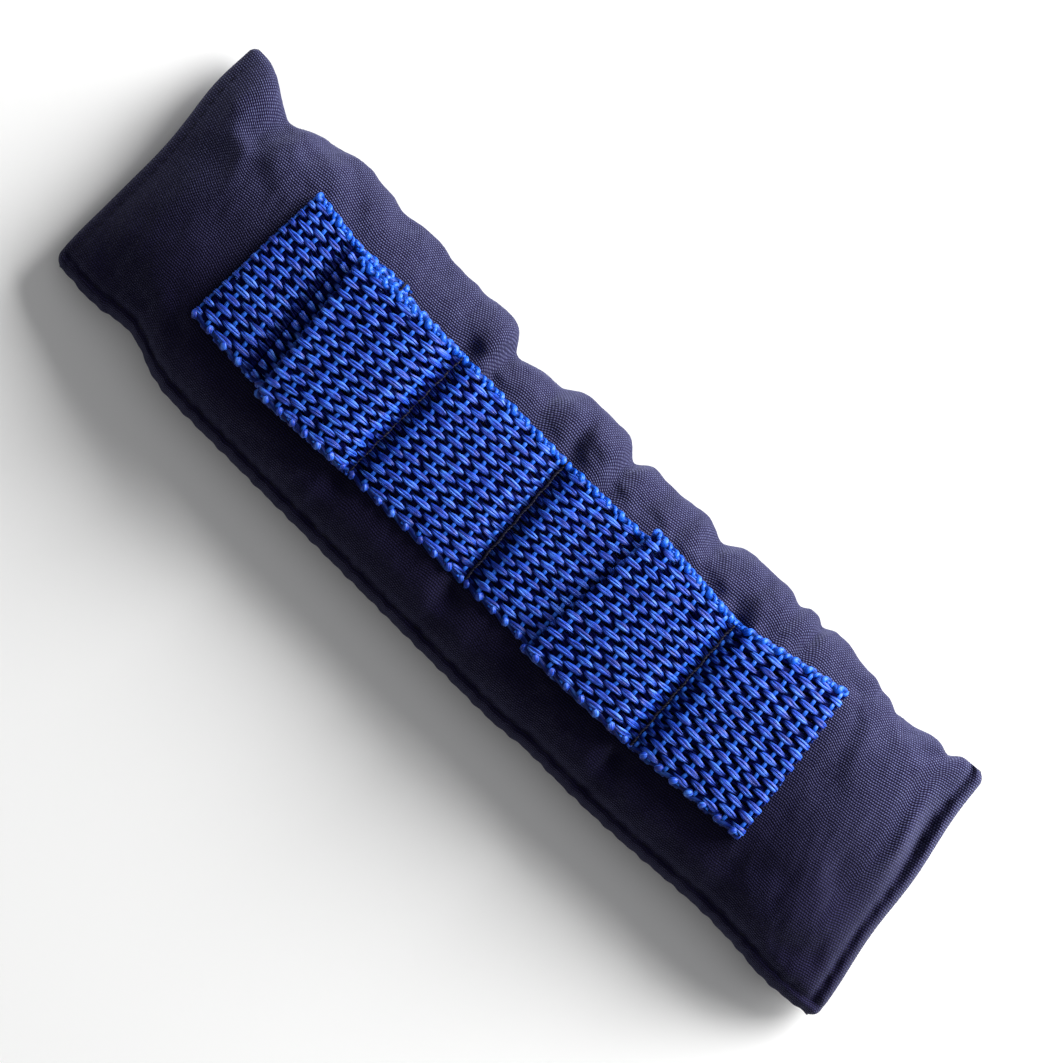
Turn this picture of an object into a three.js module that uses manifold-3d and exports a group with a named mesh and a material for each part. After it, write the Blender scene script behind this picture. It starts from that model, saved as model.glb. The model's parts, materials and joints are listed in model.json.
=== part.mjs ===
// Ankle cuff weight: a shot-filled cloth bag with one strip of folded webbing sewn along its top.
// Millimetres, +Z up. The origin is under the middle of the bag, on the face that rests on the leg.
// +X runs along the bag, +Y points to its folded long side, -Y to its stitched long side.
//
// The bag bends round the ankle, so it is made in six lengths with a hinge line between each two.
// Under each hinge line the bag has a V-shaped bend piece, which is the cloth and shot that crumples there.

import * as THREE from 'three';
import { mergeVertices } from 'three/addons/utils/BufferGeometryUtils.js';
import Module from 'manifold-3d';

const wasm = await Module();
wasm.setup();

// ---- Driving dimensions --------------------------------------------------------------------

const GAP = 0.3; // clearance left between pieces that touch

const BAG = {
  leftEnd: -120.4, // middle of the left end seam
  rightEnd: 116.3, // middle of the right end seam
  leftSkew: -0.03, // how far the left end moves along X for each millimetre of Y
  rightSkew: -0.17, // the right end is cut askew
  foldSide: 32.3, // Y of the folded long side along the middle of the bag
  seamSide: -34.5, // Y of the stitched long side along the middle of the bag
  cornerFlare: 2.2, // how far the folded side's corners stick out
  seamCornerTuck: 4.0, // how far the stitched side's corners are drawn in
  cornerStart: 88, // where along X the corners begin to change
  height: 24, // top of the filled bag
  edgeHeight: 10, // middle of the side edges above the rest face
  endHeight: 6, // middle of the end seams above the rest face
  flange: 2.4, // thickness of the flat sewn edges
  endTaper: 34, // length over which the filling tapers to the end seam
  baseTaper: 22, // length over which the underside lifts to the end seam
  clothThickness: 1.0,
  linerThickness: 0.6,
  ease: 0.7, // room between the cloth, the liner and the shot
  seamAllowance: 6, // the filling stops this far inside a sewn edge
};

const WEB = {
  thickness: 1.7,
  slit: 0.5, // gap between the two layers of a flattened loop
  sewnClearance: 0.4, // gap between the bag and the layer on it
  underLoopB: 1.2, // gap under loop B, which clears the hidden row of stitches
};

// Rows of stitching across the webbing, and the bag's hinge lines: X at the middle, and X per mm of Y.
const ROW_1 = { x: -38.7, skew: 0 };
const ROW_2 = { x: -4.2, skew: -0.0706 };
const ROW_3 = { x: 48.2, skew: -0.073 };
const BEND_LEFT = { x: -93.8, skew: 0 };
const BEND_RIGHT = { x: 86.5, skew: -0.14 };
const HINGES = [BEND_LEFT, ROW_1, ROW_2, ROW_3, BEND_RIGHT];
const BEND_ANGLE = 36; // degrees each hinge line can close
const V_HALF_ANGLE = THREE.MathUtils.degToRad(BEND_ANGLE / 2 + 0.5);
const ROW_HINGE_HEIGHT = BAG.height + WEB.sewnClearance + WEB.thickness;
const END_HINGE_HEIGHT = BAG.height + GAP;

// Plan corners of the webbing, [x, y]: first at the stitched side, then at the folded side.
const WEB_EDGE = {
  foldA: [[-88.8, -17.1], [-87.4, 22.7]],
  bendA: [[-69.6, -18.1], [-73.2, 20.6]], // where loop A's tip bends up, beside loop B's fold
  foldB: [[-65.8, -19.6], [-70.8, 18.9]],
  flapEnd: [[-57.4, -17.5], [-57.2, 21.6]], // the cut end of the strip, under loop A
  row1: [[-38.7, -17.9], [-38.7, 19.7]],
  row2: [[-3.0, -16.9], [-5.55, 19.2]],
  foldC: [[16.5, -17.9], [19.4, 22.7]],
  row3: [[49.4, -16.3], [46.7, 20.7]],
  foldD: [[81.9, -13.6], [76.1, 27.4]],
};

const THREAD = { radius: 0.45, pitch: 4.5, wave: 0.25 };
const SEAM_INSET = 3.0; // the edge stitching runs this far inside the bag's sewn edges

// ---- Materials -----------------------------------------------------------------------------

const finish = (color, roughness, metalness = 0) => ({ color, roughness, metalness });
const CLOTH = finish('#23233a', 0.85);
const LINER = finish('#c9c6bd', 0.8);
const SHOT = finish('#5a5c60', 0.45, 0.8);
const WEBBING = finish('#2348b4', 0.5);
const SEWING_THREAD = finish('#14142a', 0.6);

const group = new THREE.Group();

function addPiece(name, geometry, look) {
  const mesh = new THREE.Mesh(geometry, new THREE.MeshStandardMaterial(look));
  mesh.name = name;
  group.add(mesh);
}

// ---- Solids --------------------------------------------------------------------------------

const clamp01 = (value) => Math.min(1, Math.max(0, value));
const mix = (a, b, share) => a + (b - a) * share;

/** The closed solid between a lower and an upper surface, each a function of (along, across) from 0 to 1. */
function layeredSolid(lower, upper, stepsAlong, stepsAcross) {
  const points = [];
  for (const surface of [lower, upper]) {
    for (let i = 0; i <= stepsAlong; i += 1) {
      for (let j = 0; j <= stepsAcross; j += 1) {
        points.push(surface(i / stepsAlong, j / stepsAcross));
      }
    }
  }
  const row = stepsAcross + 1;
  const layer = (stepsAlong + 1) * row;
  const faces = [];
  const quad = (a, b, c, d) => faces.push([a, b, c], [a, c, d]);
  for (let i = 0; i < stepsAlong; i += 1) {
    for (let j = 0; j < stepsAcross; j += 1) {
      const a = i * row + j;
      quad(a, a + 1, a + row + 1, a + row);
      quad(layer + a, layer + a + row, layer + a + row + 1, layer + a + 1);
    }
    const near = i * row;
    const far = near + stepsAcross;
    quad(near, near + row, layer + near + row, layer + near);
    quad(far, layer + far, layer + far + row, far + row);
  }
  const last = stepsAlong * row;
  for (let j = 0; j < stepsAcross; j += 1) {
    quad(j, layer + j, layer + j + 1, j + 1);
    quad(last + j, last + j + 1, layer + last + j + 1, layer + last + j);
  }
  return facesOut(points, faces);
}

/** An indexed geometry of these triangles, turned inside out if they enclose a negative volume. */
function facesOut(points, faces) {
  let volume = 0;
  for (const [a, b, c] of faces) {
    volume += points[a].dot(new THREE.Vector3().crossVectors(points[b], points[c]));
  }
  const ordered = volume > 0 ? faces : faces.map(([a, b, c]) => [a, c, b]);
  const geometry = new THREE.BufferGeometry();
  geometry.setAttribute('position', new THREE.Float32BufferAttribute(points.flatMap((p) => p.toArray()), 3));
  geometry.setIndex(ordered.flat());
  geometry.computeVertexNormals();
  return geometry;
}

function toManifold(geometry) {
  const bare = geometry.clone();
  bare.deleteAttribute('normal');
  bare.deleteAttribute('uv');
  const merged = mergeVertices(bare, 1e-4);
  return new wasm.Manifold(new wasm.Mesh({
    numProp: 3,
    vertProperties: new Float32Array(merged.attributes.position.array),
    triVerts: new Uint32Array(merged.index.array),
  }));
}

function fromManifold(solid) {
  const mesh = solid.getMesh();
  const geometry = new THREE.BufferGeometry();
  geometry.setAttribute('position', new THREE.BufferAttribute(new Float32Array(mesh.vertProperties), 3));
  geometry.setIndex(new THREE.BufferAttribute(new Uint32Array(mesh.triVerts), 1));
  geometry.computeVertexNormals();
  return geometry;
}

/** A round thread along a list of points. */
function threadTube(points, radius, steps) {
  const section = new THREE.Shape();
  section.absarc(0, 0, radius, 0, Math.PI * 2);
  const path = new THREE.CatmullRomCurve3(points);
  return new THREE.ExtrudeGeometry(section, { steps, extrudePath: path, curveSegments: 3 });
}

// ---- The bag's shape -----------------------------------------------------------------------

/** How far along X each end of the bag lies at this Y. */
const leftEndAt = (y) => BAG.leftEnd + BAG.leftSkew * y;
const rightEndAt = (y) => BAG.rightEnd + BAG.rightSkew * y;

/** Share of the way into a corner, 0 along the middle of the bag and 1 at its end. */
const cornerShare = (x) => clamp01((Math.abs(x) - BAG.cornerStart) / (BAG.rightEnd - BAG.cornerStart));

/** The long sides' Y at this X. */
const foldSideAt = (x) => BAG.foldSide + BAG.cornerFlare * cornerShare(x) ** 2;
const seamSideAt = (x) => BAG.seamSide + BAG.seamCornerTuck * cornerShare(x);

/** How full the top is across the bag: 1 at the middle, 0 at the edges, blunt at the folded side. */
function topFullness(across) {
  return across > 0 ? (1 - across ** 3.2) ** 0.5 : (1 - Math.abs(across) ** 2.8) ** 0.7;
}

const baseFullness = (across) => (1 - Math.abs(across) ** 4) ** 0.6;
const endFullness = (share) => (1 - (1 - clamp01(share)) ** 2.2) ** 0.75;
const baseEndFullness = (share) => 1 - (1 - clamp01(share)) ** 2;

/** How far the inside of the sewn edges lies within the bag's outline. */
const tuckOf = (inset) => (inset > 0 ? BAG.seamAllowance + 3 * inset : 0);

/** Top and underside of the bag, drawn in by inset, at across from -1 (stitched side) to 1 (folded side). */
function bagHeights(across, fromEnd, inset = 0) {
  const full = endFullness(fromEnd / (BAG.endTaper - tuckOf(inset)));
  const baseFull = baseEndFullness(fromEnd / (BAG.baseTaper - tuckOf(inset)));
  const middle = mix(BAG.endHeight, BAG.edgeHeight, full);
  const half = inset > 0 ? 0.3 : BAG.flange / 2;
  const rise = BAG.height - inset - BAG.edgeHeight - half;
  const drop = BAG.edgeHeight + 1.5 - half - inset;
  return {
    top: middle + half + rise * topFullness(across) * full,
    base: Math.max(inset, middle - half - drop * baseFullness(across) * baseFull),
  };
}

/** The whole bag as one solid, drawn in by inset from the outside of the cloth. */
function bagSolid(inset) {
  const tuck = tuckOf(inset);
  const point = (upper) => (along, share) => {
    const across = Math.sin((share - 0.5) * Math.PI);
    const straight = mix(BAG.leftEnd, BAG.rightEnd, stationShare(along));
    const fold = foldSideAt(straight) - 2.4 * inset;
    const seam = seamSideAt(straight) + tuck;
    const y = mix(seam, fold, (across + 1) / 2);
    const x = mix(leftEndAt(y) + tuck, rightEndAt(y) - tuck, stationShare(along));
    const fromEnd = Math.min(x - leftEndAt(y) - tuck, rightEndAt(y) - tuck - x);
    const { top, base } = bagHeights(across, fromEnd, inset);
    return new THREE.Vector3(x, y, upper ? top : base);
  };
  return toManifold(layeredSolid(point(false), point(true), 20, 14));
}

/** Stations along the bag, closer together towards its ends. */
function stationShare(along) {
  return mix(along, 0.5 - 0.5 * Math.cos(along * Math.PI), 0.75);
}

/** Height of the bag's top at a point in plan, away from its ends. */
function crownAt(y) {
  const across = (2 * (y - BAG.seamSide)) / (BAG.foldSide - BAG.seamSide) - 1;
  return bagHeights(across, BAG.endTaper).top;
}

// ---- Lengths and bends ---------------------------------------------------------------------

const hingeHeight = (hinge) => (
  hinge === BEND_LEFT || hinge === BEND_RIGHT ? END_HINGE_HEIGHT : ROW_HINGE_HEIGHT
);

/** X on the sloping cut beside a hinge line: side is -1 on its left and 1 on its right. */
function cutAt(hinge, side, clearance, y, z) {
  const open = (hingeHeight(hinge) - z) * Math.tan(V_HALF_ANGLE);
  return hinge.x + hinge.skew * y + side * (open + clearance);
}

/** A wedge or trapezoid of space, from floorZ to topZ, between two functions of (y, z) that give X. */
function cuttingBlock(leftFace, rightFace, floorZ, topZ) {
  const reach = 60;
  const point = (z) => (along, share) => {
    const y = mix(-reach, reach, share);
    return new THREE.Vector3(mix(leftFace(y, z), rightFace(y, z), along), y, z);
  };
  return toManifold(layeredSolid(point(floorZ), point(topZ), 1, 1));
}

function lengthBlock(index) {
  const left = HINGES[index - 1];
  const right = HINGES[index];
  const beyond = 200;
  const leftFace = left ? (y, z) => cutAt(left, 1, GAP, y, z) : () => -beyond;
  const rightFace = right ? (y, z) => cutAt(right, -1, GAP, y, z) : () => beyond;
  return cuttingBlock(leftFace, rightFace, -5, BAG.height + 1);
}

function bendBlock(hinge) {
  const leftFace = (y, z) => cutAt(hinge, -1, 0, y, z);
  const rightFace = (y, z) => cutAt(hinge, 1, 0, y, z);
  return cuttingBlock(leftFace, rightFace, -5, hingeHeight(hinge) - 0.1);
}

function buildBag() {
  const outside = bagSolid(0);
  const clothInside = bagSolid(BAG.clothThickness);
  const linerInset = BAG.clothThickness + BAG.ease;
  const linerOutside = bagSolid(linerInset);
  const linerInside = bagSolid(linerInset + BAG.linerThickness);
  const filling = bagSolid(linerInset + BAG.linerThickness + BAG.ease);
  const cloth = outside.subtract(clothInside);
  const liner = linerOutside.subtract(linerInside);
  for (let index = 0; index <= HINGES.length; index += 1) {
    const block = lengthBlock(index);
    addPiece(`cover_length_${index + 1}`, fromManifold(cloth.intersect(block)), CLOTH);
    addPiece(`liner_length_${index + 1}`, fromManifold(liner.intersect(block)), LINER);
    addPiece(`shot_fill_${index + 1}`, fromManifold(filling.intersect(block)), SHOT);
  }
  HINGES.forEach((hinge, index) => {
    addPiece(`bend_${index + 1}`, fromManifold(outside.intersect(bendBlock(hinge))), CLOTH);
  });
}

// ---- Webbing -------------------------------------------------------------------------------

const corner = (edge, side) => new THREE.Vector2(...edge[side]);

/** The edge moved along the strip, by millimetres of X. */
const shifted = (edge, dx) => edge.map(([x, y]) => [x + dx, y]);

/** A point in plan on the webbing between two edges. */
function planPoint(start, end, along, share) {
  const first = corner(start, 0).lerp(corner(start, 1), share);
  return first.lerp(corner(end, 0).lerp(corner(end, 1), share), along);
}

/** One flat layer of webbing between two edges, its underside this far above the bag. */
function webbingLayer(start, end, above) {
  const point = (rise) => (along, share) => {
    const plan = planPoint(start, end, along, share);
    return new THREE.Vector3(plan.x, plan.y, crownAt(plan.y) + above + rise);
  };
  return layeredSolid(point(0), point(WEB.thickness), 2, 6);
}

/** The half turn of webbing at a loop's fold. direction is -1 where the fold points to -X. */
function webbingFold(edge, above, direction) {
  const outer = WEB.thickness + WEB.slit / 2;
  const point = (radius) => (turn, share) => {
    const angle = (turn - 0.5) * Math.PI;
    const plan = planPoint(edge, edge, 0, share);
    const x = plan.x - direction * (outer - radius * Math.cos(angle));
    return new THREE.Vector3(x, plan.y, crownAt(plan.y) + above + outer + radius * Math.sin(angle));
  };
  return layeredSolid(point(WEB.slit / 2), point(outer), 6, 6);
}

/** A flattened loop: two layers and the half turn that joins them. */
function buildLoop(name, fold, root, above, direction) {
  const turnStart = shifted(fold, -direction * (WEB.thickness + WEB.slit / 2 + GAP));
  addPiece(`${name}_lower`, webbingLayer(turnStart, root, above), WEBBING);
  addPiece(`${name}_upper`, webbingLayer(turnStart, root, above + WEB.thickness + WEB.slit), WEBBING);
  addPiece(`${name}_fold`, webbingFold(fold, above, direction), WEBBING);
}

function buildWebbing() {
  const onBag = WEB.sewnClearance;
  const secondLayer = onBag + WEB.thickness + WEB.slit;
  const besideRow = 1.8; // loop C stops short of the thread at row 3
  buildLoop('loop_a', WEB_EDGE.foldA, shifted(WEB_EDGE.bendA, -GAP), onBag, -1);
  addPiece('strip_cut_end', webbingLayer(shifted(WEB_EDGE.bendA, GAP), WEB_EDGE.flapEnd, onBag), WEBBING);
  const run1 = webbingLayer(shifted(WEB_EDGE.bendA, GAP), shifted(WEB_EDGE.row1, -2 * GAP), secondLayer);
  addPiece('strip_run_1', run1, WEBBING);
  const loopBHeight = secondLayer + WEB.thickness + WEB.underLoopB;
  buildLoop('loop_b', WEB_EDGE.foldB, shifted(WEB_EDGE.row1, -2 * GAP), loopBHeight, -1);
  const slope = WEB.thickness * Math.tan(V_HALF_ANGLE) + 2 * GAP; // clears the next run as the bag bends
  const run2 = webbingLayer(shifted(WEB_EDGE.row1, slope), shifted(WEB_EDGE.row2, -slope), onBag);
  addPiece('strip_run_2', run2, WEBBING);
  const run3 = webbingLayer(shifted(WEB_EDGE.row2, slope), shifted(WEB_EDGE.row3, -slope), onBag);
  addPiece('strip_run_3', run3, WEBBING);
  buildLoop('loop_c', WEB_EDGE.foldC, shifted(WEB_EDGE.row3, -besideRow), secondLayer, -1);
  buildLoop('loop_d', WEB_EDGE.foldD, shifted(WEB_EDGE.row3, slope), onBag, 1);
}

// ---- Thread --------------------------------------------------------------------------------

/** A row of stitches across the webbing, waving over one thread pitch. */
function rowThread(edge, dx, above, radius) {
  const [from, to] = shifted(edge, dx);
  const count = Math.round((to[1] - from[1] - 2) / THREAD.pitch) * 2;
  const points = [];
  for (let i = 0; i <= count; i += 1) {
    const share = mix(0.03, 0.97, i / count);
    const y = mix(from[1], to[1], share);
    const wave = i % 2 ? THREAD.wave : 0;
    points.push(new THREE.Vector3(mix(from[0], to[0], share), y, crownAt(y) + above + radius + wave));
  }
  return threadTube(points, radius, count);
}

/** The stitching along a sewn edge of the bag, on its top: place gives [x, y] at a share of the seam. */
function seamThread(place, length) {
  const count = Math.round(length / THREAD.pitch) * 2;
  const points = [];
  for (let i = 0; i <= count; i += 1) {
    const [x, y] = place(i / count);
    const fromEnd = Math.min(x - leftEndAt(y), rightEndAt(y) - x);
    const across = (2 * (y - seamSideAt(x))) / (foldSideAt(x) - seamSideAt(x)) - 1;
    const top = bagHeights(across, fromEnd).top;
    const wave = i % 2 ? THREAD.wave : 0;
    points.push(new THREE.Vector3(x, y, top + 2 * GAP + THREAD.radius + wave));
  }
  return threadTube(points, THREAD.radius, count);
}

function buildThread() {
  const onRun = WEB.sewnClearance + WEB.thickness + GAP;
  addPiece('row_thread_1', rowThread(WEB_EDGE.row1, 1.6, onRun, THREAD.radius), SEWING_THREAD);
  addPiece('row_thread_2', rowThread(WEB_EDGE.row2, 1.6, onRun, THREAD.radius), SEWING_THREAD);
  addPiece('row_thread_3', rowThread(WEB_EDGE.row3, -1.1 - THREAD.radius / 2, onRun, 0.3), SEWING_THREAD);
  const onRun1 = onRun + WEB.thickness + WEB.slit;
  addPiece('row_thread_hidden', rowThread(WEB_EDGE.flapEnd, -2, onRun1, 0.2), SEWING_THREAD);

  const sideY = (x) => seamSideAt(x) + SEAM_INSET;
  const fromX = leftEndAt(BAG.seamSide) + 2 * SEAM_INSET;
  const toX = rightEndAt(BAG.seamSide) - 2 * SEAM_INSET;
  const sidePlace = (share) => [mix(fromX, toX, share), sideY(mix(fromX, toX, share))];
  const side = toManifold(seamThread(sidePlace, toX - fromX));
  for (let index = 0; index <= HINGES.length; index += 1) {
    const seamPart = fromManifold(side.intersect(lengthBlock(index)));
    addPiece(`side_seam_thread_${index + 1}`, seamPart, SEWING_THREAD);
  }

  const endFrom = BAG.seamSide + BAG.seamCornerTuck + 2 * SEAM_INSET;
  const endTo = BAG.foldSide - 1;
  for (const [name, endAt, inward] of [['left', leftEndAt, 1], ['right', rightEndAt, -1]]) {
    const place = (share) => {
      const y = mix(endFrom, endTo, share);
      return [endAt(y) + inward * SEAM_INSET, y];
    };
    addPiece(`${name}_end_seam_thread`, seamThread(place, endTo - endFrom), SEWING_THREAD);
  }
}

buildBag();
buildWebbing();
buildThread();

export default group;
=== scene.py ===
"""Ankle cuff weight: a canvas bag of steel shot with one strip of folded webbing sewn along its top.

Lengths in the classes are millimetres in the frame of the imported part: +X along the bag, +Y to its folded
long side, +Z up. Meshes are written in metres. Every surface is a formula evaluated on a whole numpy grid.
"""

import json
import logging
import math
from collections.abc import Callable
from dataclasses import dataclass, field
from enum import Enum, auto
from functools import partial

import bpy
import numpy as np
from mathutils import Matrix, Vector
from numpy.typing import NDArray


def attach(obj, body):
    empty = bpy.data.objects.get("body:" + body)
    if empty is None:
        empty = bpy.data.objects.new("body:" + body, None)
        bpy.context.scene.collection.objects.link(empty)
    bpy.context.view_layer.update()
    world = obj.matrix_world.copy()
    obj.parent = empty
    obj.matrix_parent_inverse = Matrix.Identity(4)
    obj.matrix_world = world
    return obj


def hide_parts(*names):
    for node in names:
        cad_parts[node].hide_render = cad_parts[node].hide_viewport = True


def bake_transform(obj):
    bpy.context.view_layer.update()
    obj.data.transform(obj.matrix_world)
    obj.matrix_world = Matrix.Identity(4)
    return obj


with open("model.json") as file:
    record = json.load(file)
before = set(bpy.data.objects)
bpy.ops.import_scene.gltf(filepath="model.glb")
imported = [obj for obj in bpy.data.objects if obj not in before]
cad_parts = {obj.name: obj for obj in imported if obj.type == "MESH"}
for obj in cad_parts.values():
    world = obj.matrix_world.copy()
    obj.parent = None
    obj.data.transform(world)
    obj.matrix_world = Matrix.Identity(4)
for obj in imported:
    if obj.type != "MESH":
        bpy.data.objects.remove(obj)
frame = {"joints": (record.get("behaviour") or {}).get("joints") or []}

Array = NDArray[np.float64]
Point = tuple[float, float, float]
MM = 0.001
ARC_SHARE = 0.92  # how much of its radius a corner's arc spans, so that it never runs square to the side edge
FLAT_NOISE = {"noise_dimensions": "2D"}
COLOUR_MIX = {"data_type": "RGBA"}
COLOUR_A, COLOUR_B, COLOUR_OUT = 6, 7, 2  # numbers of a mix node's colour sockets
LOG = logging.getLogger("ankle_cuff_weight")


# ---- Small mathematics ------------------------------------------------------------------------


def mix(first: Array | float, second: Array | float, share: Array | float) -> Array | float:
    """First value turning into the second as share goes from 0 to 1."""
    return first + (second - first) * share


def smooth(value: Array | float) -> Array:
    """A soft step: 0 below 0, 1 above 1, with level ends."""
    t = np.clip(value, 0.0, 1.0)
    return t * t * (3.0 - 2.0 * t)


def bell(value: Array | float) -> Array:
    """A Gaussian bump of height 1 and unit spread."""
    return np.exp(-0.5 * np.square(value))


def signed_power(value: Array, power: float) -> Array:
    """Value raised to a power with its sign kept, which flattens or sharpens the crests of a wave."""
    return np.sign(value) * np.abs(value) ** power


def rounding(distance: Array, radius: float) -> Array:
    """How far a corner's arc stands in from its end edge, at a distance from its side edge."""
    inside = np.clip(1.0 - distance / radius, 0.0, ARC_SHARE)
    return radius * (1.0 - np.sqrt(1.0 - inside**2))


def unit(vectors: Array) -> Array:
    """Vectors along the last axis, scaled to length 1."""
    return vectors / np.maximum(np.linalg.norm(vectors, axis=-1, keepdims=True), 1e-12)


def low_noise(shape: tuple[int, int], cells: tuple[int, int], seed: int) -> Array:
    """Smooth seeded noise on a grid.

    Random values on a coarse lattice are stretched over the grid by soft steps, one axis after the other.

    Args:
        shape: Rows and columns of the wanted grid.
        cells: Lattice cells along each axis.
        seed: Seed of the random values.

    Returns:
        Values from about -1 to 1, one for each grid point.
    """
    lattice = np.random.default_rng(seed).uniform(-1.0, 1.0, (cells[0] + 1, cells[1] + 1))
    for axis in (0, 1):
        place = np.linspace(0.0, cells[axis] - 1e-6, shape[axis])
        low = place.astype(int)
        share = smooth(place - low)
        share = share[:, None] if axis == 0 else share[None, :]
        first, second = np.take(lattice, low, axis), np.take(lattice, low + 1, axis)
        lattice = mix(first, second, share)
    return lattice


# ---- Meshes -----------------------------------------------------------------------------------


@dataclass
class Shell:
    """Vertices, four-cornered faces and their measures, ready to become one mesh."""

    points: Array
    faces: NDArray[np.int64]
    weave: Array  # millimetres along and across the cloth or yarn at each vertex
    tint: Array  # which of the finish's colours each vertex takes, from 0 to 1
    depth: Array  # how sunk each vertex is in the weave, from 0 on a raised float to 1 down between floats; the yarn paints shade by it
    normals: Array | None = None

    def joined(self, others: list["Shell"]) -> "Shell":
        """This shell and others as one shell with several closed bodies."""
        shells = [self, *others]
        starts = np.cumsum([0] + [len(s.points) for s in shells[:-1]])
        return Shell(
            np.concatenate([s.points for s in shells]),
            np.concatenate([s.faces + start for s, start in zip(shells, starts)]),
            np.concatenate([s.weave for s in shells]),
            np.concatenate([s.tint for s in shells]),
            np.concatenate([s.depth for s in shells]),
        )

    def to_object(self, name: str, material: bpy.types.Material) -> bpy.types.Object:
        """Makes the mesh object at the origin.

        Args:
            name: Name of the piece.
            material: Its finish.

        Returns:
            The new object, linked to the scene.
        """
        mesh = bpy.data.meshes.new(name)
        mesh.vertices.add(len(self.points))
        mesh.vertices.foreach_set("co", (self.points * MM).astype(np.float32).ravel())
        corners = self.faces.ravel().astype(np.int32)
        mesh.loops.add(len(corners))
        mesh.loops.foreach_set("vertex_index", corners)
        mesh.polygons.add(len(self.faces))
        mesh.polygons.foreach_set("loop_start", np.arange(0, len(corners), 4, dtype=np.int32))
        mesh.update(calc_edges=True)
        mesh.shade_smooth()
        layer = mesh.uv_layers.new(name="weave")
        layer.data.foreach_set("uv", self.weave[corners].astype(np.float32).ravel())
        for title, values in (("tint", self.tint), ("depth", self.depth)):
            attribute = mesh.attributes.new(title, "FLOAT", "POINT")
            attribute.data.foreach_set("value", values.astype(np.float32))
        mesh.materials.append(material)
        if self.normals is not None:
            mesh.normals_split_custom_set_from_vertices(self.normals.astype(np.float32))
        piece = bpy.data.objects.new(name, mesh)
        bpy.context.scene.collection.objects.link(piece)
        return piece


def grid_faces(rows: int, columns: int, wrap: bool) -> NDArray[np.int64]:
    """Faces of a grid of vertices numbered row by row.

    Args:
        rows: Vertices down the grid.
        columns: Vertices across it.
        wrap: True where the last column joins the first.

    Returns:
        Four vertex numbers for each face.
    """
    down, across = np.meshgrid(np.arange(rows - 1), np.arange(columns - (not wrap)), indexing="ij")
    beside = (across + 1) % columns
    first = down * columns + across
    second = down * columns + beside
    return np.stack([first, second, second + columns, first + columns], -1).reshape(-1, 4)


CAP_OF_EIGHT = np.array([[0, 1, 2, 3], [0, 3, 4, 7], [4, 5, 6, 7]])  # faces that close an eight-sided ring


def yarns(
    path: Array, up: Array, width: Array, height: Array, tint: Array | float = 0.0, depth: Array | float = 0.0
) -> Shell:
    """Closed eight-sided yarns along several paths at once.

    At each step the section is an ellipse: half the width times the cosine of an angle sideways, and half the
    height times its sine along the up vector made square to the path.

    Args:
        path: Yarns by steps by 3, the centre lines.
        up: The same shape, roughly square to the paths.
        width: Full widths, yarns by steps.
        height: Full thicknesses, yarns by steps.
        tint: Which colour each yarn takes, one number or yarns by steps.
        depth: How sunk each step is, one number or yarns by steps.

    Returns:
        One shell holding every yarn.
    """
    count, steps = path.shape[:2]
    along = unit(np.gradient(path, axis=1))
    side = unit(np.cross(up, along))
    lift = unit(np.cross(along, side))
    angle = np.arange(8) * math.pi / 4 + math.pi / 8
    ring = (
        side[:, :, None] * (0.5 * width[..., None] * np.cos(angle))[..., None]
        + lift[:, :, None] * (0.5 * height[..., None] * np.sin(angle))[..., None]
    )
    points = path[:, :, None] + ring
    run = np.cumsum(np.linalg.norm(np.diff(path, axis=1, prepend=path[:, :1]), axis=-1), axis=1)
    around = np.broadcast_to(np.arange(8) * 0.45, (count, steps, 8)) + np.arange(count)[:, None, None] * 7.3
    weave = np.stack([np.broadcast_to(run[..., None], around.shape), around], -1)
    wall = grid_faces(steps, 8, True)[:, ::-1]
    caps = np.concatenate([CAP_OF_EIGHT, (CAP_OF_EIGHT + (steps - 1) * 8)[:, ::-1]])
    one = np.concatenate([wall, caps])
    faces = (one[None] + (np.arange(count) * steps * 8)[:, None, None]).reshape(-1, 4)
    tints, depths = (np.broadcast_to(np.asarray(v, float), (count, steps)) for v in (tint, depth))
    tints, depths = np.repeat(tints.ravel(), 8), np.repeat(depths.ravel(), 8)
    return Shell(points.reshape(-1, 3), faces, weave.reshape(-1, 2), tints, depths)


def plain_shell(points: Array, faces: NDArray[np.int64], weave: Array, normals: Array | None = None) -> Shell:
    """A shell that has one colour and one depth all over."""
    nothing = np.zeros(len(points))
    return Shell(points, faces, weave, nothing, nothing, normals)


def sack_faces(rings: int, around: int) -> NDArray[np.int64]:
    """Faces of a surface of flattened rings, closed at both ends by faces from its top ply to its base ply.

    Args:
        rings: Rings along the surface.
        around: Vertices on each ring.

    Returns:
        Four vertex numbers for each face.
    """
    place = np.arange(around // 2 - 1)
    cap = np.stack([place, place + 1, around - 2 - place, around - 1 - place], -1)
    return np.concatenate([grid_faces(rings, around, True), cap[:, ::-1], cap + (rings - 1) * around])


def facing_out(shell: Shell) -> Shell:
    """The shell with its faces turned round if together they enclose a negative volume."""
    a, b, c, d = (shell.points[shell.faces[:, k]] for k in range(4))
    volume = np.sum(a * np.cross(b, c)) + np.sum(a * np.cross(c, d))
    if volume < 0:
        shell.faces = shell.faces[:, ::-1]
    return shell


# ---- Finishes ---------------------------------------------------------------------------------


def linear(hex_colour: str) -> tuple[float, float, float, float]:
    """An sRGB hex colour such as '#2a2740' as linear red, green, blue and an alpha of 1."""
    parts = np.array([int(hex_colour[k : k + 2], 16) for k in (1, 3, 5)]) / 255.0
    values = np.where(parts <= 0.04045, parts / 12.92, ((parts + 0.055) / 1.055) ** 2.4)
    return (*(float(v) for v in values), 1.0)


Tree = bpy.types.NodeTree
Node = bpy.types.Node


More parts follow.
